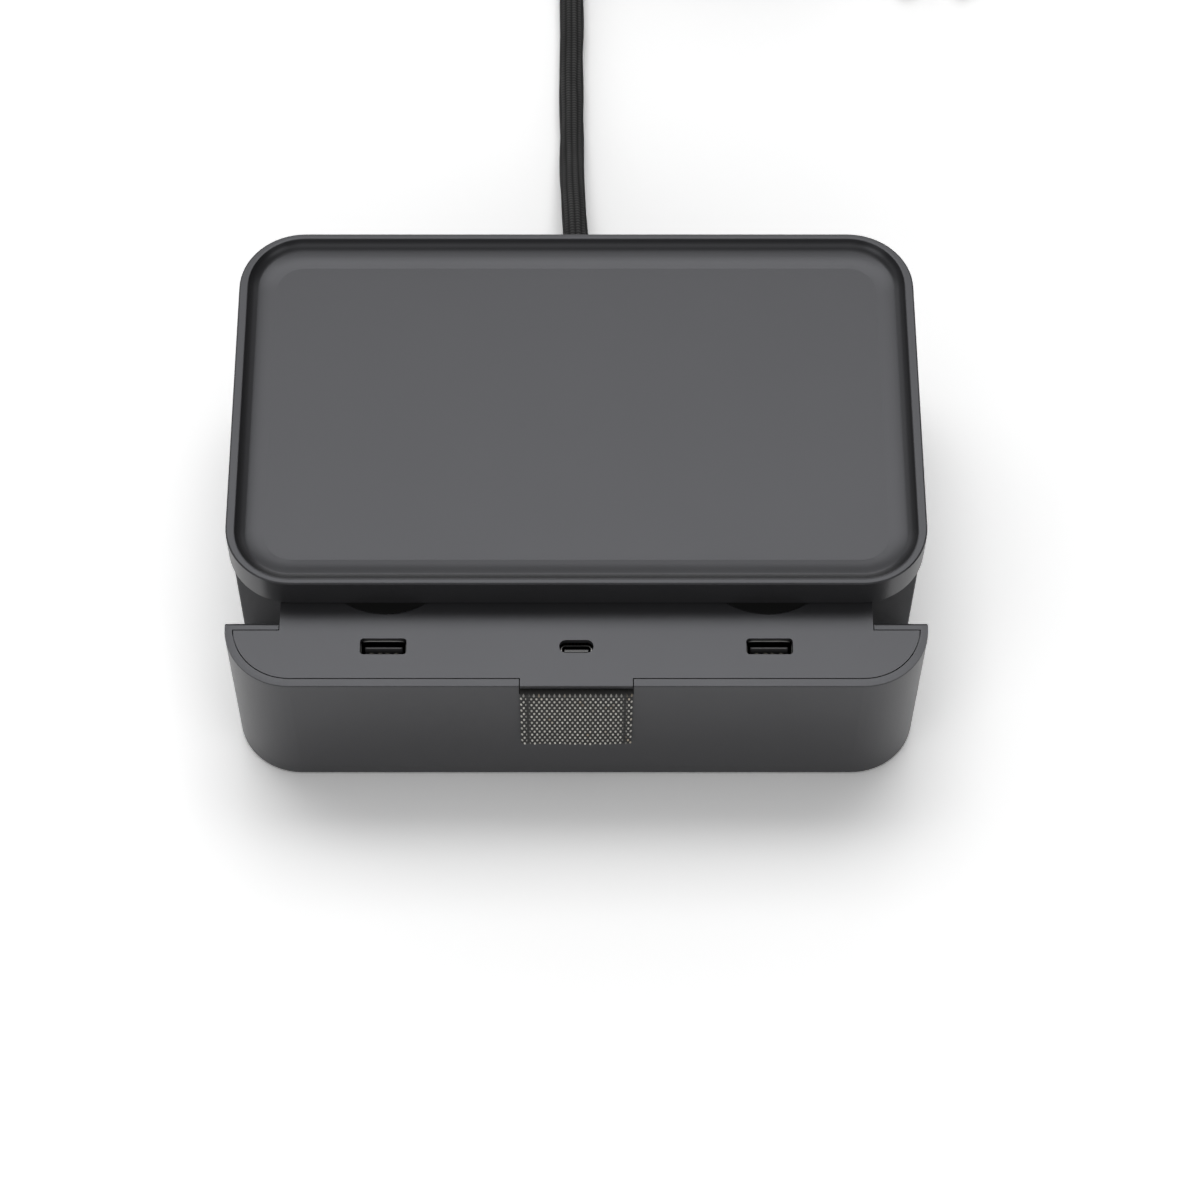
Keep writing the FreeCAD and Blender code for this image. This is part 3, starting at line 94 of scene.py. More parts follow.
def grid_faces(rows, columns):
    """Quads of a grid whose columns close round on themselves, as corner numbers, with their grid places."""
    row, column = np.meshgrid(np.arange(rows - 1), np.arange(columns), indexing="ij")
    after = (column + 1) % columns
    faces = np.stack([row * columns + column, row * columns + after,
                      (row + 1) * columns + after, (row + 1) * columns + column], axis=-1)
    return faces.reshape(-1, 4), row.ravel(), column.ravel()


def tube_uv(row, column, sides, along):
    """UV of those quads' corners: the share of the way round, and the way along at each row."""
    u = np.stack([column, column + 1, column + 1, column], axis=1) / sides
    v = along[np.stack([row, row, row + 1, row + 1], axis=1)]
    return np.stack([u, v], axis=-1)


def unit(vectors):
    """The same vectors, each of length one."""
    return vectors / np.linalg.norm(vectors, axis=1, keepdims=True)


def carried(line, side, above, across, through):
    """A profile carried along a line: each point, plus its way across times the side vector there and its
    way through times the vector above."""
    return line[:, None, :] + across[..., None] * side[:, None, :] + through[..., None] * above[:, None, :]


def smooth_step(value, start, end):
    """Rises from 0 at start to 1 at end along 3x^2 - 2x^3."""
    share = np.clip((value - start) / (end - start), 0.0, 1.0)
    return share * share * (3.0 - 2.0 * share)


# Shader expressions

class Shade:
    """One output of a material's nodes; arithmetic on it adds Math nodes."""

    def __init__(self, tree, output=None):
        self.tree, self.output = tree, output

    def node(self, kind, settings=None, inputs=None, out=0):
        """Adds a node of any kind: its settings first, then the values or links of its sockets."""
        made = self.tree.nodes.new(kind)
        for name, value in (settings or {}).items():
            setattr(made, name, value)
        for name, value in (inputs or {}).items():
            if isinstance(value, Shade):
                self.tree.links.new(value.output, made.inputs[name])
            else:
                made.inputs[name].default_value = value
        return Shade(self.tree, made.outputs[out])

    def maths(self, operation, *values):
        return self.node("ShaderNodeMath", {"operation": operation}, dict(enumerate(values)))

    def vectors(self, operation, *values, out="Vector"):
        return self.node("ShaderNodeVectorMath", {"operation": operation}, dict(enumerate(values)), out)

    def __add__(self, other):
        return self.maths("ADD", self, other)

    def __sub__(self, other):
        return self.maths("SUBTRACT", self, other)

    def __rsub__(self, other):
        return self.maths("SUBTRACT", other, self)

    def __mul__(self, other):
        return self.maths("MULTIPLY", self, other)

    def __truediv__(self, other):
        return self.maths("DIVIDE", self, other)

    def __mod__(self, other):
        return self.maths("FLOORED_MODULO", self, other)

    def __pow__(self, other):
        return self.maths("POWER", self, other)

    def __gt__(self, other):
        return self.maths("GREATER_THAN", self, other)

    def __abs__(self):
        return self.maths("ABSOLUTE", self)

    __radd__, __rmul__ = __add__, __mul__

    def floor(self):
        return self.maths("FLOOR", self)

    def part(self):
        """What is left above the whole number."""
        return self.maths("FRACT", self)

    def wave(self):
        """Sine of the value."""
        return self.maths("SINE", self)

    def log(self):
        """Natural logarithm of the value."""
        return self.maths("LOGARITHM", self, math.e)

    def angle(self, other):
        """Angle in degrees whose tangent is this value over the other."""
        return self.maths("ARCTAN2", self, other) * (360 / TURN)

    def at_most(self, other):
        return self.maths("MINIMUM", self, other)

    def at_least(self, other):
        return self.maths("MAXIMUM", self, other)

    def between(self, low, high, to_low=0.0, to_high=1.0):
        """Carries low..high on to to_low..to_high, smoothly and no further."""
        return self.node("ShaderNodeMapRange", {"interpolation_type": "SMOOTHSTEP"},
                         {"Value": self, "From Min": low, "From Max": high,
                          "To Min": to_low, "To Max": to_high})

    def tint(self, first, second):
        """Colour that goes from first to second as this value goes from 0 to 1."""
        colours = [c if isinstance(c, Shade) else (*c, 1.0) for c in (first, second)]
        return self.node("ShaderNodeMix", {"data_type": "RGBA", "clamp_factor": True},
                         {"Factor": self, 6: colours[0], 7: colours[1]}, out=2)

    def place(self):
        """The point on the surface, in metres, as a vector."""
        return self.node("ShaderNodeTexCoord", out="Object")

    def split(self):
        """The three numbers of this vector, as values."""
        return [self.node("ShaderNodeSeparateXYZ", None, {"Vector": self}, out=i) for i in range(3)]

    def unwrapped(self):
        """The piece's own two surface coordinates, as values."""
        return self.node("ShaderNodeUVMap", {"uv_map": "UVMap"}).split()[:2]

    def axes(self):
        """X, Y and Z of the point on the surface, in metres, as values."""
        return self.place().split()

    def ray(self, kind):
        """1 for rays of one kind, such as Camera, and 0 for others."""
        return self.node("ShaderNodeLightPath", out=f"Is {kind} Ray")

    def joined(self, x, y, z=0.0):
        return self.node("ShaderNodeCombineXYZ", None, {"X": x, "Y": y, "Z": z})

    def stretched(self, scale):
        """This vector with each of its three numbers multiplied."""
        return self.vectors("MULTIPLY", self, scale)

    def noise(self, size, detail=2.0, rough=0.5):
        """Cloudy noise between 0 and 1 over this vector, with grains of the given size."""
        return self.node("ShaderNodeTexNoise", None, {"Vector": self, "Scale": 1.0 / size,
                                                      "Detail": detail, "Roughness": rough})

    def relief(self, depth, over=None):
        """Surface normal of this height, in the given depth in metres, over another relief."""
        inputs = {"Height": self, "Distance": depth, "Strength": 1.0}
        if over is not None:
            inputs["Normal"] = over
        return self.node("ShaderNodeBump", None, inputs, out="Normal")


def finish(name, draw):
    """Material whose surface sockets are what draw gives for it."""
    material = bpy.data.materials.new(name)
    material.use_nodes = True
    tree = material.node_tree
    shader = tree.nodes["Principled BSDF"]
    for socket, value in draw(Shade(tree)).items():
        if isinstance(value, Shade):
            tree.links.new(value.output, shader.inputs[socket])
        else:
            shader.inputs[socket].default_value = value
    return material


def shade_of(colour, factor):
    """The colour made lighter or darker."""
    return tuple(channel * factor for channel in colour)


def grey(level):
    """Neutral colour of one level."""
    return (level, level, level)


# Finishes

def moulded(name, colour, rough, grain, depth, mottle=0.06, form=None, **more):
    """Moulded plastic or rubber: even colour with faint clouding, and the mould's fine spark-worn grain,
    over the relief that form gives; more is fixed values for other sockets."""
    def draw(base):
        place = base.place()
        cloud = place.noise(28 * MM, 3.0)
        fine = place.noise(grain, 2.0, 0.6)
        return {"Base Color": cloud.between(0.3, 0.7).tint(shade_of(colour, 1 - mottle),
                                                           shade_of(colour, 1 + mottle)),
                "Roughness": rough + (cloud - 0.5) * 0.04 + (fine - 0.5) * 0.10,
                "Normal": fine.relief(depth, form(base) if form else None), **more}
    return finish(name, draw)


def way_in(along, up, corner):
    """Way in from the edge of a rectangle with round corners, none outside it; along and up run from the
    middles of its corner rounds."""
    beside, above = along.at_least(0.0), up.at_least(0.0)
    outside = (beside * beside + above * above) ** 0.5 + along.at_least(up).at_most(0.0)
    return (corner - outside).at_least(0.0)


# Recess of the tray in millimetres: middles of its corner rounds, their radius, and the drafted wall with
# its round foot; then the wide dish that the wall is polished into, with a steeper part at the rim.
RECESS_X, RECESS_Y, RECESS_ROUND = 81.0, 41.7, 16.4
WALL_WIDE, WALL_FOOT, WALL_SLOPE = 8.05, 10.0, 0.905
DISH_WIDE, DISH_FOOT, BROW_WIDE, BROW_BEND = 8.4, 21.0, 3.0, 0.227


def dish_relief(base):
    """Normal of a dish in the recess: how far its profile stands over the drafted wall's, as a function of
    the way in from the rim of a rectangle with round corners."""
    x, y, _ = (axis / MM for axis in base.axes())
    inside = way_in(abs(x) - RECESS_X, abs(y) - RECESS_Y, RECESS_ROUND)
    run = (DISH_WIDE - inside).at_least(0.0)
    brow = (BROW_WIDE - inside).at_least(0.0)
    dish = DISH_FOOT - (DISH_FOOT ** 2 - run * run) ** 0.5 + brow * brow * BROW_BEND
    reach = WALL_FOOT * math.sin(math.atan(WALL_SLOPE))
    foot = (WALL_WIDE - inside).at_least(0.0).at_most(reach)
    straight = (WALL_WIDE - reach - inside).at_least(0.0)
    wall = WALL_FOOT - (WALL_FOOT ** 2 - foot * foot) ** 0.5 + straight * WALL_SLOPE
    return ((dish - wall) * MM).relief(1.0)


# Rim of the drawer's front in millimetres: middles of its corner rounds, their radius and the edge's round;
# then the crown that the rim is polished to: its width, its slope, and how much of the round it takes up.
RIM_X, RIM_Y, RIM_CORNER, RIM_EDGE = 81.0, -67.4, 19.0, 0.9
CROWN_WIDE, CROWN_SLOPE, CROWN_KEEP = 1.7, 0.05, 0.84


def crown_relief(base):
    """Normal of a low crown on the drawer's rim: the edge's round lifted nearly level, less an even slope,
    as a function of the way in from the rim's outside."""
    x, y, _ = (axis / MM for axis in base.axes())
    inside = way_in(abs(x) - RIM_X, RIM_Y - y, RIM_CORNER)
    turn = (1.0 - inside / RIM_EDGE).at_least(0.0).at_most(CROWN_KEEP)
    lift = (1.0 - turn * turn).log() * (-RIM_EDGE / 2)
    return ((lift - (CROWN_WIDE - inside).at_least(0.0) * CROWN_SLOPE) * MM).relief(1.0)


def drawn_metal(name, colour, rough, stretch, depth=0.004 * MM):
    """Metal with fine streaks along one axis and slight dull patches."""
    def draw(base):
        place = base.place()
        streak = place.stretched(stretch).noise(0.25 * MM, 3.0)
        dull = place.noise(3 * MM, 2.0)
        return {"Base Color": dull.between(0.3, 0.75).tint(colour, shade_of(colour, 0.78)),
                "Metallic": 1.0,
                "Roughness": rough + (streak - 0.5) * 0.16 + dull.between(0.5, 0.8) * 0.12,
                "Normal": streak.relief(depth)}
    return finish(name, draw)


BOARD_RASTER = 1.27 * MM


def laminate(name):
    """Circuit board: lacquered green with paler tracks and tinned dots on a small raster."""
    def draw(base):
        x, y, _ = base.axes()
        row, column = x / BOARD_RASTER, y / BOARD_RASTER
        raster = base.joined(row.floor(), column.floor())
        chance = raster.noise(2.3, 0.0)
        track = (0.5 - abs(row.part() - 0.5)).between(0.28, 0.34) * (chance > 0.52)
        across = base.joined(row.part() - 0.5, column.part() - 0.5)
        tin = (0.24 - across.vectors("LENGTH", across, out="Value")).between(0.0, 0.04) * (chance > 0.60)
        colour = tin.tint(track.tint((0.012, 0.055, 0.028), (0.022, 0.095, 0.045)), (0.55, 0.55, 0.53))
        return {"Base Color": colour, "Metallic": tin * 0.9, "Roughness": 0.42 - tin * 0.12,
                "Coat Weight": 0.3 - tin * 0.3,
                "Normal": (track * 0.6 + tin).relief(0.03 * MM)}
    return finish(name, draw)


def winding(name, colour, pitch, round_axis):
    """Enamelled wire laid turn by turn: ridges one pitch apart, outwards from Z or along it; the colour
    darkens between the turns as painted shade.
    """
    def draw(base):
        x, y, z = base.axes()
        if round_axis:
            run = (x * x + y * y) ** 0.5
        else:
            run = z
        turn = (run / pitch).part() - 0.5
        ridge = (1.0 - turn * turn * 4.0).at_least(0.0) ** 0.5
        cloud = base.place().noise(2 * MM)
        # The colour darkens to a third between the turns, following the ridges: painted shade in the grooves.
        return {"Base Color": (ridge * 0.8 + cloud * 0.2).tint(shade_of(colour, 0.3), colour),
                "Metallic": 0.85, "Roughness": 0.24 + cloud * 0.2, "Coat Weight": 0.4,
                "Normal": ridge.relief(0.25 * pitch)}
    return finish(name, draw)


def sleeve_film(name, colour, edge):
    """Shrunk plastic sleeve: glossy, with soft puckers and a paler stripe down one side."""
    def draw(base):
        x, _, z = base.axes()
        place = base.place()
        pucker = place.stretched((1.0, 1.0, 0.2)).noise(2.2 * MM, 2.0)
        stripe = ((x / (6 * MM)).part() - 0.5).between(0.30, 0.34)
        worn = (z / (4 * MM)).wave() * 0.04
        return {"Base Color": stripe.tint(colour, edge), "Roughness": 0.30 + worn + pucker * 0.12,
                "Normal": pucker.relief(0.08 * MM)}
    return finish(name, draw)


def glass_tube(name):
    """Fuse: clear tube with a greyish tint and faint smears."""
    def draw(base):
        smear = base.place().noise(1.5 * MM, 3.0)
        return {"Base Color": smear.tint((0.55, 0.58, 0.56), (0.72, 0.74, 0.72)),
                "Roughness": 0.06 + smear * 0.12, "Transmission Weight": 0.6, "IOR": 1.5}
    return finish(name, draw)


def ribbon_film(name):
    """Flat lead: copper tracks under amber film, side by side across X."""
    def draw(base):
        x, _, _ = base.axes()
        across = (x / (1.0 * MM)).part() - 0.5
        track = (0.32 - abs(across)).between(0.0, 0.06)
        smear = base.place().noise(4 * MM)
        return {"Base Color": track.tint((0.10, 0.035, 0.010), (0.34, 0.14, 0.045)),
                "Metallic": track * 0.4, "Roughness": 0.28 + smear * 0.15,
                "Normal": track.relief(0.03 * MM)}
    return finish(name, draw)


# Warp and weft of the tab: its width, the threads across it, and the way from one thread down it to the next;
# how far its seams are from the middle, and the threads, counted from its foot, over which its pale threads
# fade
# out where it turns into the slot: painted shade under the tongue.
TAB_WIDTH, TAB_WARPS, TAB_WEFT = 32 * MM, 44, 1.83 * MM
TAB_SEAM, TAB_FOLD_SHADE = 13.8 * MM, (15.0, 17.0)


def tweed(name):
    """Plain weave of off-white warp and black weft: cells in a chequer, each an oval of its own thread, dark
    along the seams, and with the pale threads faded out past the fold as painted shade under the slot's
    tongue."""
    def draw(base):
        u, v = base.unwrapped()
        cell = base.joined(u.floor(), v.floor())
        pale = ((u.floor() + v.floor()) % 2.0) > 0.5
        across, down = u.part() - 0.5, v.part() - 0.5
        oval = (across * across * 4.4 + down * down * 5.6).between(0.50, 1.0, 1.0, 0.0)
        mood = cell.node("ShaderNodeTexWhiteNoise", {"noise_dimensions": "2D"}, {"Vector": cell})
        fibre = base.joined(u * 3.0, v * 9.0).noise(1.0, 3.0, 0.65)
        side = abs(u / TAB_WARPS - 0.5) * (TAB_WIDTH / MM)
        seam = abs(side - TAB_SEAM / MM).between(0.25, 0.80, 1.0, 0.0)
        # The pale threads fade out over the top rows towards the fold: painted shade under the slot's tongue.
        fold_shade = v.floor().between(*TAB_FOLD_SHADE, 1.0, 0.0)
        uneven = (mood * 0.35 + 0.65) * (fibre * 0.5 + 0.72)
        show = pale * oval * uneven * (1.0 - seam * 0.93) * fold_shade
        brown = cell.noise(5.0, 1.0).between(0.60, 0.72)
        yarn = brown.tint((0.80, 0.78, 0.72), (0.58, 0.49, 0.37))
        dark = fibre.tint(grey(0.004), (0.018, 0.017, 0.016))
        return {"Base Color": show.tint(dark, yarn), "Roughness": 0.86 + (fibre - 0.5) * 0.2,
                "Normal": (fibre + show * 0.4).relief(0.06 * MM),
                "Sheen Weight": 0.15, "Sheen Roughness": 0.5}
    return finish(name, draw)


# The cord's sleeve: ribs round it, and the length of a stitch along it.
CORD_RIBS, CORD_STITCH = 12, 1.05 * MM


def braided(name):
    """Knitted textile sleeve: lengthwise ribs, each a chain of slanting stitches, painted lighter on their
    crowns and darker between them as highlight and shade.
    """
    def draw(base):
        around, along = base.unwrapped()
        rib = around * CORD_RIBS
        across = rib.part() - 0.5
        slant = along / CORD_STITCH + abs(across) * 0.4
        stitch = (slant * TURN).wave() * 0.5 + 0.5
        crown = 1.0 - across * across * 4.0
        fuzz = base.joined(rib * 4.0, along / (0.25 * MM)).noise(1.0, 3.0, 0.65)
        worn = base.joined(rib.floor() * 1.7, along / (26 * MM)).noise(1.0, 2.0)
        height = crown * (stitch * 0.75 + 0.25)
        # The colour follows the relief: lighter on the ribs' crowns and stitch tops and darker between them,
        # which is painted highlight and painted shade; the rest is fibre and uneven tone along each rib.
        painted_shade_and_tone = (height * 0.85 + fuzz * 0.15) * worn.between(0.25, 0.75, 0.55, 1.35)
        return {"Base Color": painted_shade_and_tone.tint(grey(0.006), grey(0.070)),
                "Roughness": 0.80 + (fuzz - 0.5) * 0.2, "Normal": (height + fuzz * 0.3).relief(0.16 * MM),
                "Specular IOR Level": 0.25}
    return finish(name, draw)


def case_plastic(name, shine, form=None):
    """Dark grey plastic of the case, with a cool satin shine."""
    return moulded(name, (0.030, 0.030, 0.032), 0.31, 0.32 * MM, 0.006 * MM, 0.02, form,
                   **{"Specular IOR Level": shine, "Specular Tint": (0.935, 0.945, 1.0, 1.0)})


def set_finishes():
    """One finish for every carried CAD node; gives those that new pieces share."""
    level, upright = (0.08, 1.0, 1.0), (1.0, 1.0, 0.08)
    tongue_plastic = moulded("tongue_plastic", (0.075, 0.075, 0.077), 0.30, 0.3 * MM, 0.004 * MM)
    lip_steel = drawn_metal("lip_steel", (0.60, 0.60, 0.58), 0.34, level)
    lead_film = ribbon_film("lead_film")
    table = (
        (case_plastic("tray_plastic", 0.52, dish_relief), "top_tray"),
        (case_plastic("case_plastic", 0.52), "base_shell"),
        (case_plastic("drawer_plastic", 0.55, crown_relief), "drawer_shell"),
        (case_plastic("deck_plastic", 0.57), "port_deck"),
        # The wells' plastic glows faintly: painted light that keeps the shaded insides of the deep wells from
        # going black.
        (moulded("well_plastic", (0.060, 0.060, 0.062), 0.42, 0.45 * MM, 0.012 * MM,
                 **{"Emission Color": (1.0, 1.0, 1.0, 1.0), "Emission Strength": 0.004}),
         "well_cup_left well_cup_right"),
        (moulded("plate_plastic", (0.040, 0.040, 0.042), 0.55, 0.5 * MM, 0.02 * MM), "tray_plate"),
        (moulded("pad_rubber", (0.016, 0.016, 0.017), 0.85, 0.9 * MM, 0.06 * MM, 0.15), "base_pad"),
        (moulded("slide_plastic", (0.60, 0.59, 0.55), 0.38, 0.6 * MM, 0.010 * MM),
         "slide_channel_left slide_channel_right runner_left runner_right slide_shoe_left slide_shoe_right"),
        (moulded("gland_rubber", (0.018, 0.018, 0.019), 0.62, 0.5 * MM, 0.020 * MM, 0.10),
         "cord_gland cord_end"),
        (moulded("clamp_plastic", (0.030, 0.030, 0.032), 0.48, 0.5 * MM, 0.015 * MM),
         "tab_clamp cord_clamp lead_socket"),
        (moulded("tie_plastic", (0.020, 0.020, 0.021), 0.40, 0.4 * MM, 0.010 * MM), "cord_tie"),
        (moulded("plug_plastic", (0.026, 0.026, 0.028), 0.46, 0.4 * MM, 0.015 * MM), "plug_body"),
        (tongue_plastic, "usb_a_tongue_left usb_a_tongue_right usb_c_tongue"),
        (moulded("terminal_plastic", (0.05, 0.22, 0.08), 0.42, 0.5 * MM, 0.010 * MM), "terminal_block"),
        (moulded("wire_sleeve", (0.10, 0.045, 0.018), 0.45, 0.4 * MM, 0.010 * MM, 0.2), "mains_wires"),
        (moulded("chip_plastic", (0.020, 0.020, 0.021), 0.55, 0.15 * MM, 0.010 * MM, 0.15), "charger_chips"),
        (moulded("ferrite", (0.045, 0.043, 0.042), 0.50, 0.25 * MM, 0.012 * MM, 0.25), "ferrite_shield"),
        (drawn_metal("plated_steel", (0.62, 0.61, 0.59), 0.30, upright),
         "plate_screws case_screws channel_screws power_board_screws shoe_screws deck_screws "
         "port_board_screws tab_clamp_screws cord_clamp_screws"),
        # The sockets' shells and contacts are given dark colours that stand for the shade inside the
        # openings: painted shade.
        (drawn_metal("socket_steel", (0.025, 0.025, 0.024), 0.36, upright),
         "usb_a_shell_left usb_a_shell_right"),
        (drawn_metal("usb_c_steel_painted_shade", (0.155, 0.153, 0.148), 0.30, upright), "usb_c_shell"),
        (drawn_metal("contact_metal_painted_shade", (0.060, 0.056, 0.048), 0.40, upright), "usb_a_contacts"),
        (drawn_metal("pin_metal", (0.70, 0.68, 0.63), 0.22, level), "plug_pin_left plug_pin_right"),
        (drawn_metal("sink_metal", (0.72, 0.72, 0.72), 0.40, upright), "heat_sink"),
        (laminate("board_laminate"), "charger_board power_board port_board"),
        (winding("coil_copper", (0.60, 0.26, 0.10), 1.1 * MM, True), "charging_coil"),
        (winding("choke_copper", (0.55, 0.22, 0.08), 0.7 * MM, False),
         "transformer filter_choke converter_coils"),
        (sleeve_film("capacitor_sleeve", (0.015, 0.017, 0.035), (0.45, 0.46, 0.47)), "bulk_capacitor"),
        (glass_tube("fuse_glass"), "fuse"),
        (lead_film, "drawer_lead"),
    )
    for material, names in table:
        for name in names.split():
            for slot in nodes[name].material_slots:
                slot.material = material
    return tongue_plastic, lip_steel, lead_film


# Cord

CORD_DIAMETER, CORD_LENGTH, CORD_STEP = 8 * MM, 1.52, 1.4 * MM
# The sleeve in millimetres: radius between the ribs, their height, and how far it is out of round.
SLEEVE_RADIUS, SLEEVE_RIB, SLEEVE_UNEVEN = 3.80, 0.26, 0.075
# Route of the cord from the box to its coil, then from the coil to the plug, in millimetres.
EXIT_ROUTE = np.array([(0, 90, 12), (-0.5, 104, 12), (-1.3, 121, 8.8), (-1.5, 139, 4.7), (-1.7, 160, 4.1),
                       (-1.5, 184, 4.1), (-1.75, 210, 4.2), (-1.6, 241.5, 4.6)])
TAIL_ROUTE = np.array([(1.2, 297, 19.5), (12.3, 322.5, 9.0), (39.5, 339.5, 4.7), (71.4, 340.6, 4.2),
                       (102.5, 327.5, 4.8), (121, 301.5, 6.85), (121, 271.5, 6.85)])
# The coil in millimetres: its middle, turns and points in each, radius of its two lanes and how far its last
# part goes in, and its heights on the table, on top of that and over the rest.
COIL_CENTRE, COIL_TURNS, COIL_POINTS = (47.25, 272.0), 4, 18
COIL_OUTER, COIL_INNER, COIL_LAST_IN = 49.0, 41.0, 3.0
COIL_LEVELS = (5.0, 13.2, 20.6)
# Turns between which the coil goes to its inner lane, up on top, back to the outer lane, over the rest, and
# inwards to its end.
TO_INNER, TO_TOP, TO_OUTER = (0.74, 1.00), (1.58, 1.86), (2.48, 2.76)
TO_OVER, TO_END = (3.36, 3.66), (3.50, 3.76)


def coil_route():
    """Turns of the coil: outer then inner lane on the table, inner then outer lane on top of them, and the
    last part of the last turn over the rest; each change of lane or level is a smooth step in turns."""
    turn = np.linspace(0.0, COIL_TURNS, COIL_TURNS * COIL_POINTS + 1)
    inner = smooth_step(turn, *TO_INNER) - smooth_step(turn, *TO_OUTER)
    radius = COIL_OUTER + (COIL_INNER - COIL_OUTER) * inner - COIL_LAST_IN * smooth_step(turn, *TO_END)
    table, top, over = COIL_LEVELS
    level = table + (top - table) * smooth_step(turn, *TO_TOP) + (over - top) * smooth_step(turn, *TO_OVER)
    reach = radius / math.cos(math.pi / COIL_POINTS)
    angle = math.pi - TURN * turn
    return np.stack([COIL_CENTRE[0] + reach * np.cos(angle), COIL_CENTRE[1] + reach * np.sin(angle),
                     level], axis=1)


def spline_points(route):
    """Points read along the open quadratic NURBS spline that has the route as its control points."""
    curve = bpy.data.curves.new("cord_line", "CURVE")
    curve.dimensions, curve.resolution_u = "3D", 16
    spline = curve.splines.new("NURBS")
    spline.points.add(len(route) - 1)
    spline.points.foreach_set("co", np.c_[route, np.ones(len(route))].astype(np.float32).ravel())
    spline.order_u, spline.use_endpoint_u = 3, True
    holder = bpy.data.objects.new("cord_line", curve)
    line = bpy.data.meshes.new_from_object(holder)
    points = np.empty(len(line.vertices) * 3, dtype=np.float32)
    line.vertices.foreach_get("co", points)
    bpy.data.objects.remove(holder)
    bpy.data.curves.remove(curve)
    bpy.data.meshes.remove(line)
    return points.reshape(-1, 3).astype(float)


def evenly(points, step):
    """The same line with its points one step apart, and how far along it each lies."""
    run = np.r_[0.0, np.cumsum(np.linalg.norm(np.diff(points, axis=0), axis=1))]
    at = np.linspace(0.0, run[-1], int(round(run[-1] / step)) + 1)
    return np.stack([np.interp(at, run, points[:, i]) for i in range(3)], axis=1), at


def make_cord(material):
    """Textile-covered mains cord: a round profile with shallow ribs, a little uneven along the way,
    carried along the route's spline on a level side vector and the up vector square to it."""
    route = np.concatenate([EXIT_ROUTE, coil_route(), TAIL_ROUTE]) * MM
    line, along = evenly(spline_points(route), CORD_STEP)
    ahead = unit(np.gradient(line, axis=0))
    side = unit(np.cross(ahead, (0.0, 0.0, 1.0)))
    above = np.cross(side, ahead)
    sides = CORD_RIBS * 4
    angle = np.arange(sides) / sides * TURN
    rib = np.abs(np.sin(angle * CORD_RIBS / 2))[None, :]
    far, turn = along[:, None] / MM, angle[None, :]
    uneven = np.sin(far / 5.1 + 2 * turn) + np.sin(far / 8.3 - turn + 1.0) + np.sin(far / 3.7 + 3 * turn)
    radius = (SLEEVE_RADIUS + SLEEVE_RIB * rib + SLEEVE_UNEVEN * uneven) * MM
    points = carried(line, side, above, radius * np.cos(turn), radius * np.sin(turn))
    faces, row, column = grid_faces(len(line), sides)
    cord = add_piece("cord_sleeve", points.reshape(-1, 3), faces[:, ::-1],
                     tube_uv(row, column, sides, along)[:, ::-1], material)
    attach(cord, "housing")
    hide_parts("power_cord", "cord_coil", "cord_tail")


# Flexible lead

# Route of the lead from the drawer's back wall, over the power board and down into its socket, in
# millimetres; then the outline of the flat lead, across and through it, and the step along it.
SLACK_ROUTE = np.array([(0, -15, 39.8), (0, -7, 39.8), (0, 5, 39.8), (0, 14.5, 38.5), (0, 16.2, 31),
                        (0, 15, 22), (0, 15, 13.1)])
LEAD_ACROSS = np.array([-5.9, 5.9, 6.0, 6.0, 5.9, -5.9, -6.0, -6.0])
LEAD_THROUGH = np.array([0.2, 0.2, 0.12, -0.12, -0.2, -0.2, -0.12, 0.12])
LEAD_STEP = 0.8 * MM


def make_lead(material):
    """Flat flexible lead: its outline carried along the route's spline on the X axis and the way square to
    it, fixed where it lies."""
    line, along = evenly(spline_points(SLACK_ROUTE * MM), LEAD_STEP)
    ahead = unit(np.gradient(line, axis=0))
    side = np.broadcast_to((1.0, 0.0, 0.0), line.shape)
    points = carried(line, side, np.cross(side, ahead), LEAD_ACROSS * MM, LEAD_THROUGH * MM)
    sides = len(LEAD_ACROSS)
    faces, row, column = grid_faces(len(line), sides)
    lead = add_piece("flex_lead_slack", points.reshape(-1, 3), faces, tube_uv(row, column, sides, along),
                     material)
    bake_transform(lead)
    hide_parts("flex_lead")


# Pull tab

# Places of the tab: Y of its inner end and of its hanging part, Z of its level part, its rise to the slot and
# Z of its foot; then the radius of its fold and how far the foot stands off the wall.
TAB_BACK, TAB_FACE = -77.4 * MM, -87.3 * MM
TAB_TOP, TAB_LIFT, TAB_FOOT = 52.3 * MM, 1.5 * MM, 22.7 * MM
TAB_BEND, TAB_OFF = 0.6 * MM, 0.25 * MM
TAB_LEVEL = TAB_BACK - TAB_FACE - TAB_BEND
TAB_LENGTH = TAB_LEVEL + TAB_BEND * math.pi / 2 + TAB_TOP + TAB_LIFT - TAB_BEND - TAB_FOOT
# Its cloth: half its thickness, how high a dark thread stands and how much higher a pale one, how deep the
# seams are, and how far it ripples and its foot frays; then rows down it and steps across each thread.
TAB_HALF, THREAD_RISE, PALE_RISE, SEAM_DEPTH = 0.42 * MM, 0.10 * MM, 0.12 * MM, 0.20 * MM
TAB_RIPPLE, TAB_FRAY = 0.12 * MM, 0.35 * MM
TAB_ROWS, TAB_STEPS = 140, 5


def tab_line(run):
    """Middle of the cloth at a way along it: level from inside the drawer, a gentle rise to the slot, a
    quarter round, then straight down with the foot a little off the wall; gives Y, Z and the outward
    normal's Y, Z."""
    angle = np.clip((run - TAB_LEVEL) / TAB_BEND, 0.0, math.pi / 2)
    drop = np.clip(run - TAB_LEVEL - TAB_BEND * math.pi / 2, 0.0, None)
    y = (TAB_BACK - np.clip(run, 0.0, TAB_LEVEL) - TAB_BEND * np.sin(angle)
         - TAB_OFF * smooth_step(drop, 10 * MM, 30 * MM))
    z = TAB_TOP + TAB_LIFT * smooth_step(run, 2.5 * MM, 7.5 * MM) - TAB_BEND * (1 - np.cos(angle)) - drop
    return y, z, -np.sin(angle), np.cos(angle)


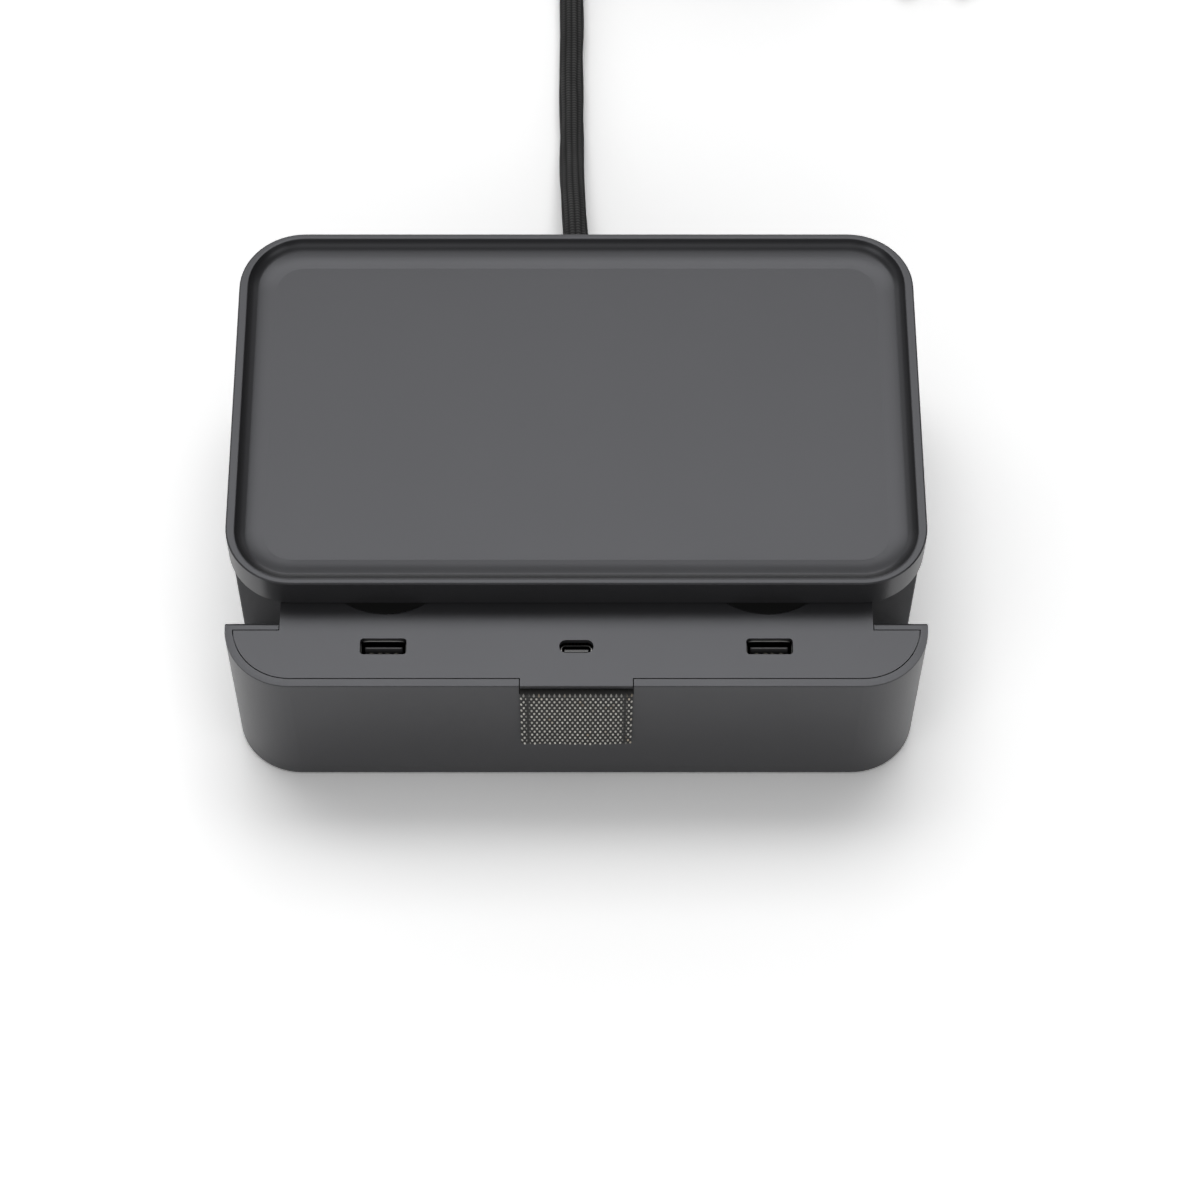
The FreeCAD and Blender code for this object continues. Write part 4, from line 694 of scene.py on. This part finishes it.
def make_tab(material):
    """Woven tab: the cloth's middle line given breadth, with both faces raised over each thread by pillows
    (the root of the two threads' half sines), sunk along the two seams, thinner at the sides, rippled and
    frayed towards the foot, and closed at the edges and ends."""
    run = np.linspace(0.0, TAB_LENGTH, TAB_ROWS)
    count = TAB_WARPS * TAB_STEPS + 1
    across = np.linspace(-0.5, 0.5, count)
    warp, weft = np.meshgrid((across + 0.5) * TAB_WARPS, (TAB_LENGTH - run) / TAB_WEFT)
    pale = (np.floor(np.clip(warp, 0, TAB_WARPS - 1e-6)) + np.floor(weft)) % 2
    pillow = np.sqrt(np.abs(np.sin(math.pi * warp)) * np.abs(np.sin(math.pi * weft)))
    sunk = SEAM_DEPTH * np.exp(-((np.abs(across) * TAB_WIDTH - TAB_SEAM) / (0.5 * MM)) ** 2)
    thin = 1.0 - 0.45 * smooth_step(np.abs(across), 0.47, 0.5)
    over = (TAB_HALF + (THREAD_RISE + PALE_RISE * pale) * pillow - sunk) * thin
    under = (TAB_HALF + (THREAD_RISE + PALE_RISE * (1 - pale)) * pillow - sunk) * thin
    y, z, normal_y, normal_z = (value[:, None] for value in tab_line(run))
    loose = smooth_step(run, 0.5 * TAB_LENGTH, TAB_LENGTH)[:, None]
    ripple = TAB_RIPPLE * np.sin(across * 9.0 + 0.6) * loose
    last_threads = smooth_step(run, TAB_LENGTH - 2 * TAB_WEFT, TAB_LENGTH)[:, None]
    fray = TAB_FRAY * np.sin(across * 61.0) * np.sin(across * 23.0 + 1.0) * last_threads
    x = np.broadcast_to(across * TAB_WIDTH, over.shape)
    front = np.stack([x, y + normal_y * (ripple + over), z + normal_z * over + fray], axis=-1)
    back = np.stack([x, y + normal_y * (ripple - under), z - normal_z * under + fray], axis=-1)
    loop = np.concatenate([front, back[:, ::-1]], axis=1)
    columns = 2 * count
    faces, row, column = grid_faces(TAB_ROWS, columns)
    place = np.concatenate([warp, warp[:, ::-1]], axis=1)
    down = np.concatenate([weft, weft[:, ::-1] + 1.0], axis=1)
    after = (column + 1) % columns
    corner_rows = np.stack([row, row, row + 1, row + 1], axis=1)
    corner_columns = np.stack([column, after, after, column], axis=1)
    uv = np.stack([place[corner_rows, corner_columns], down[corner_rows, corner_columns]], axis=-1)
    seat = np.arange(count - 1)
    opposite = columns - 1 - seat
    last = (TAB_ROWS - 1) * columns
    caps = np.concatenate([np.stack([opposite, opposite - 1, seat + 1, seat], axis=1),
                           last + np.stack([seat, seat + 1, opposite - 1, opposite], axis=1)])
    cap_uv = np.stack([place.ravel()[caps], down.ravel()[caps]], axis=-1)
    tab = add_piece("pull_tab_weave", loop.reshape(-1, 3), np.concatenate([faces, caps])[:, ::-1],
                    np.concatenate([uv, cap_uv])[:, ::-1], material)
    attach(tab, "drawer")
    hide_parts("pull_tab")


# Socket details

# Places of the wide sockets to each side; half the tongue's and the lip's length, and how far the lip's ends
# turn down.
PORT_X = 54.7 * MM
TONGUE_HALF, LIP_HALF, LIP_BOW = 5.3 * MM, 5.95 * MM, 0.5 * MM
# Outlines in Y and Z, in millimetres: a tongue with a narrow top and long bevels, and a rolled lip of sheet.
TONGUE_OUTLINE = np.array([(-71.95, 41.6), (-71.95, 52.2), (-72.50, 53.55), (-72.62, 53.62), (-72.98, 53.62),
                           (-73.10, 53.55), (-73.79, 51.9), (-73.79, 41.6)])
LIP_OUTLINE = np.array([(-71.27, 54.3), (-71.27, 55.12), (-71.30, 55.22), (-71.40, 55.30), (-71.52, 55.28),
                        (-71.58, 55.18), (-71.53, 55.08), (-71.42, 55.04), (-71.37, 54.9), (-71.37, 54.3)])


def add_strip(name, outline, middle, half, bow, material):
    """Straight strip: an outline in Y and Z carried along X, with flat ends; it sinks towards them by the bow
    times the eighth power of the way from its middle."""
    share = np.linspace(-1.0, 1.0, 25)
    points = np.empty((len(share), len(outline), 3))
    points[..., 0] = (middle + share * half)[:, None]
    points[..., 1] = outline[None, :, 0] * MM
    points[..., 2] = outline[None, :, 1] * MM - bow * (share ** 8)[:, None]
    rows, columns = points.shape[:2]
    faces, row, column = grid_faces(rows, columns)
    uv = tube_uv(row, column, columns, np.arange(rows) / rows)
    ends = [np.arange(columns)[::-1], (rows - 1) * columns + np.arange(columns)]
    piece = add_piece(name, points.reshape(-1, 3), faces, uv, material, ends)
    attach(piece, "drawer")
    return piece


def make_socket_details(plastic, steel):
    """Bevelled tongues of the two wide sockets, and the rolled lip along the rear of each shell."""
    for name, sign in (("left", -1), ("right", 1)):
        tongue = add_strip(f"usb_a_tongue_{name}_bevelled", TONGUE_OUTLINE, sign * PORT_X, TONGUE_HALF,
                           0.0, plastic)
        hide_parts(f"usb_a_tongue_{name}")
        lip = add_strip(f"usb_a_lip_{name}", LIP_OUTLINE, sign * PORT_X, LIP_HALF, LIP_BOW, steel)


# Floor and light

# Half the floor's side in metres, and its tone for the light it gives back, in gloss and for the camera.
FLOOR_REACH = 6.0
FLOOR_TONE, FLOOR_IN_GLOSS, FLOOR_SEEN = 0.86, 1.18, 1.45


def set_floor():
    """Wide pale floor; seen by the camera and in gloss it is lit like white paper, shadow and all."""
    square = np.array([(0.0, 0.0), (1.0, 0.0), (1.0, 1.0), (0.0, 1.0)])
    corners = np.c_[(square * 2.0 - 1.0) * FLOOR_REACH, np.zeros(4)]
    material = bpy.data.materials.new("white_sweep")
    material.use_nodes = True
    tree = material.node_tree
    tree.nodes.remove(tree.nodes["Principled BSDF"])
    base = Shade(tree)
    in_gloss = base.ray("Glossy").at_least(base.ray("Transmission"))
    mirrored = in_gloss.tint(grey(FLOOR_TONE), grey(FLOOR_IN_GLOSS))
    paper = base.node("ShaderNodeBsdfDiffuse", None,
                      {"Color": base.ray("Camera").tint(mirrored, grey(FLOOR_SEEN))})
    tree.links.new(paper.output, tree.nodes["Material Output"].inputs["Surface"])
    add_piece("floor", corners, np.array([[0, 1, 2, 3]]), square, material)


# Softboxes far off: lowest and highest edge in degrees, from the level behind over the top, left and right
# edge in degrees, and strength.
BOXES = ((50, 63, -20, 20, 2.79), (63, 76, -20, 20, 4.45), (50, 76, -40, -20, 0.97), (50, 76, 20, 40, 0.15),
         (76, 92, -30, 30, 0.91), (92, 112, -30, 30, 0.69))
# Round lights low about the room: compass bearing from +X and height in degrees, and strength.
LAMPS = ((90, 12, 1.38), (90, 30, 0.52), (-90, 12, 0.40), (-90, 34, 0.70), (180, 18, 0.42), (135, 22, 0.97),
         (45, 22, 0.49), (-135, 20, 1.65), (-45, 20, 1.15))
# Degrees that a softbox's edge fades over to each side, and that a round light reaches from its middle.
FADE, SPREAD = 3.0, 26.0


def box_glow(way):
    """Light of the softboxes from a way, by its angles over the back and to the side."""
    x, y, z = way.split()
    lift = z.angle(y)
    side = x.angle((y * y + z * z) ** 0.5)
    glow = 0.0
    for low, high, left, right, strength in BOXES:
        tall = lift.between(low - FADE, low + FADE) * lift.between(high - FADE, high + FADE, 1.0, 0.0)
        wide = side.between(left - FADE, left + FADE) * side.between(right - FADE, right + FADE, 1.0, 0.0)
        glow = tall * wide * strength + glow
    return glow


def lamp_glow(way):
    """Light of the round lights from a way, by how near it is to each one's aim."""
    glow = 0.0
    for bearing, rise, strength in LAMPS:
        turn, lift = math.radians(bearing), math.radians(rise)
        aim = (math.cos(lift) * math.cos(turn), math.cos(lift) * math.sin(turn), math.sin(lift))
        near = way.vectors("DOT_PRODUCT", way, aim, out="Value")
        glow = near.between(math.cos(math.radians(SPREAD)), 1.0, 0.0, strength) + glow
    return glow


def set_light():
    """Studio of softboxes and round lights on the sky; the camera itself sees plain white there."""
    world = bpy.data.worlds.new("studio")
    scene.world = world
    world.use_nodes = True
    tree = world.node_tree
    base = Shade(tree)
    white = base.ray("Camera").at_least(base.ray("Transmission"))
    way = base.node("ShaderNodeTexCoord", out="Generated")
    glow = (box_glow(way) + lamp_glow(way)) * (1.0 - white) + white
    tree.links.new(glow.output, tree.nodes["Background"].inputs["Strength"])
    tree.nodes["Background"].inputs["Color"].default_value = (*grey(1.0), 1.0)


set_camera()
make_cord(braided("cord_braid"))
make_tab(tweed("tab_cloth"))
tongue_plastic, lip_steel, lead_film = set_finishes()
make_socket_details(tongue_plastic, lip_steel)
make_lead(lead_film)
set_floor()
set_light()
scene.view_settings.view_transform = "Standard"
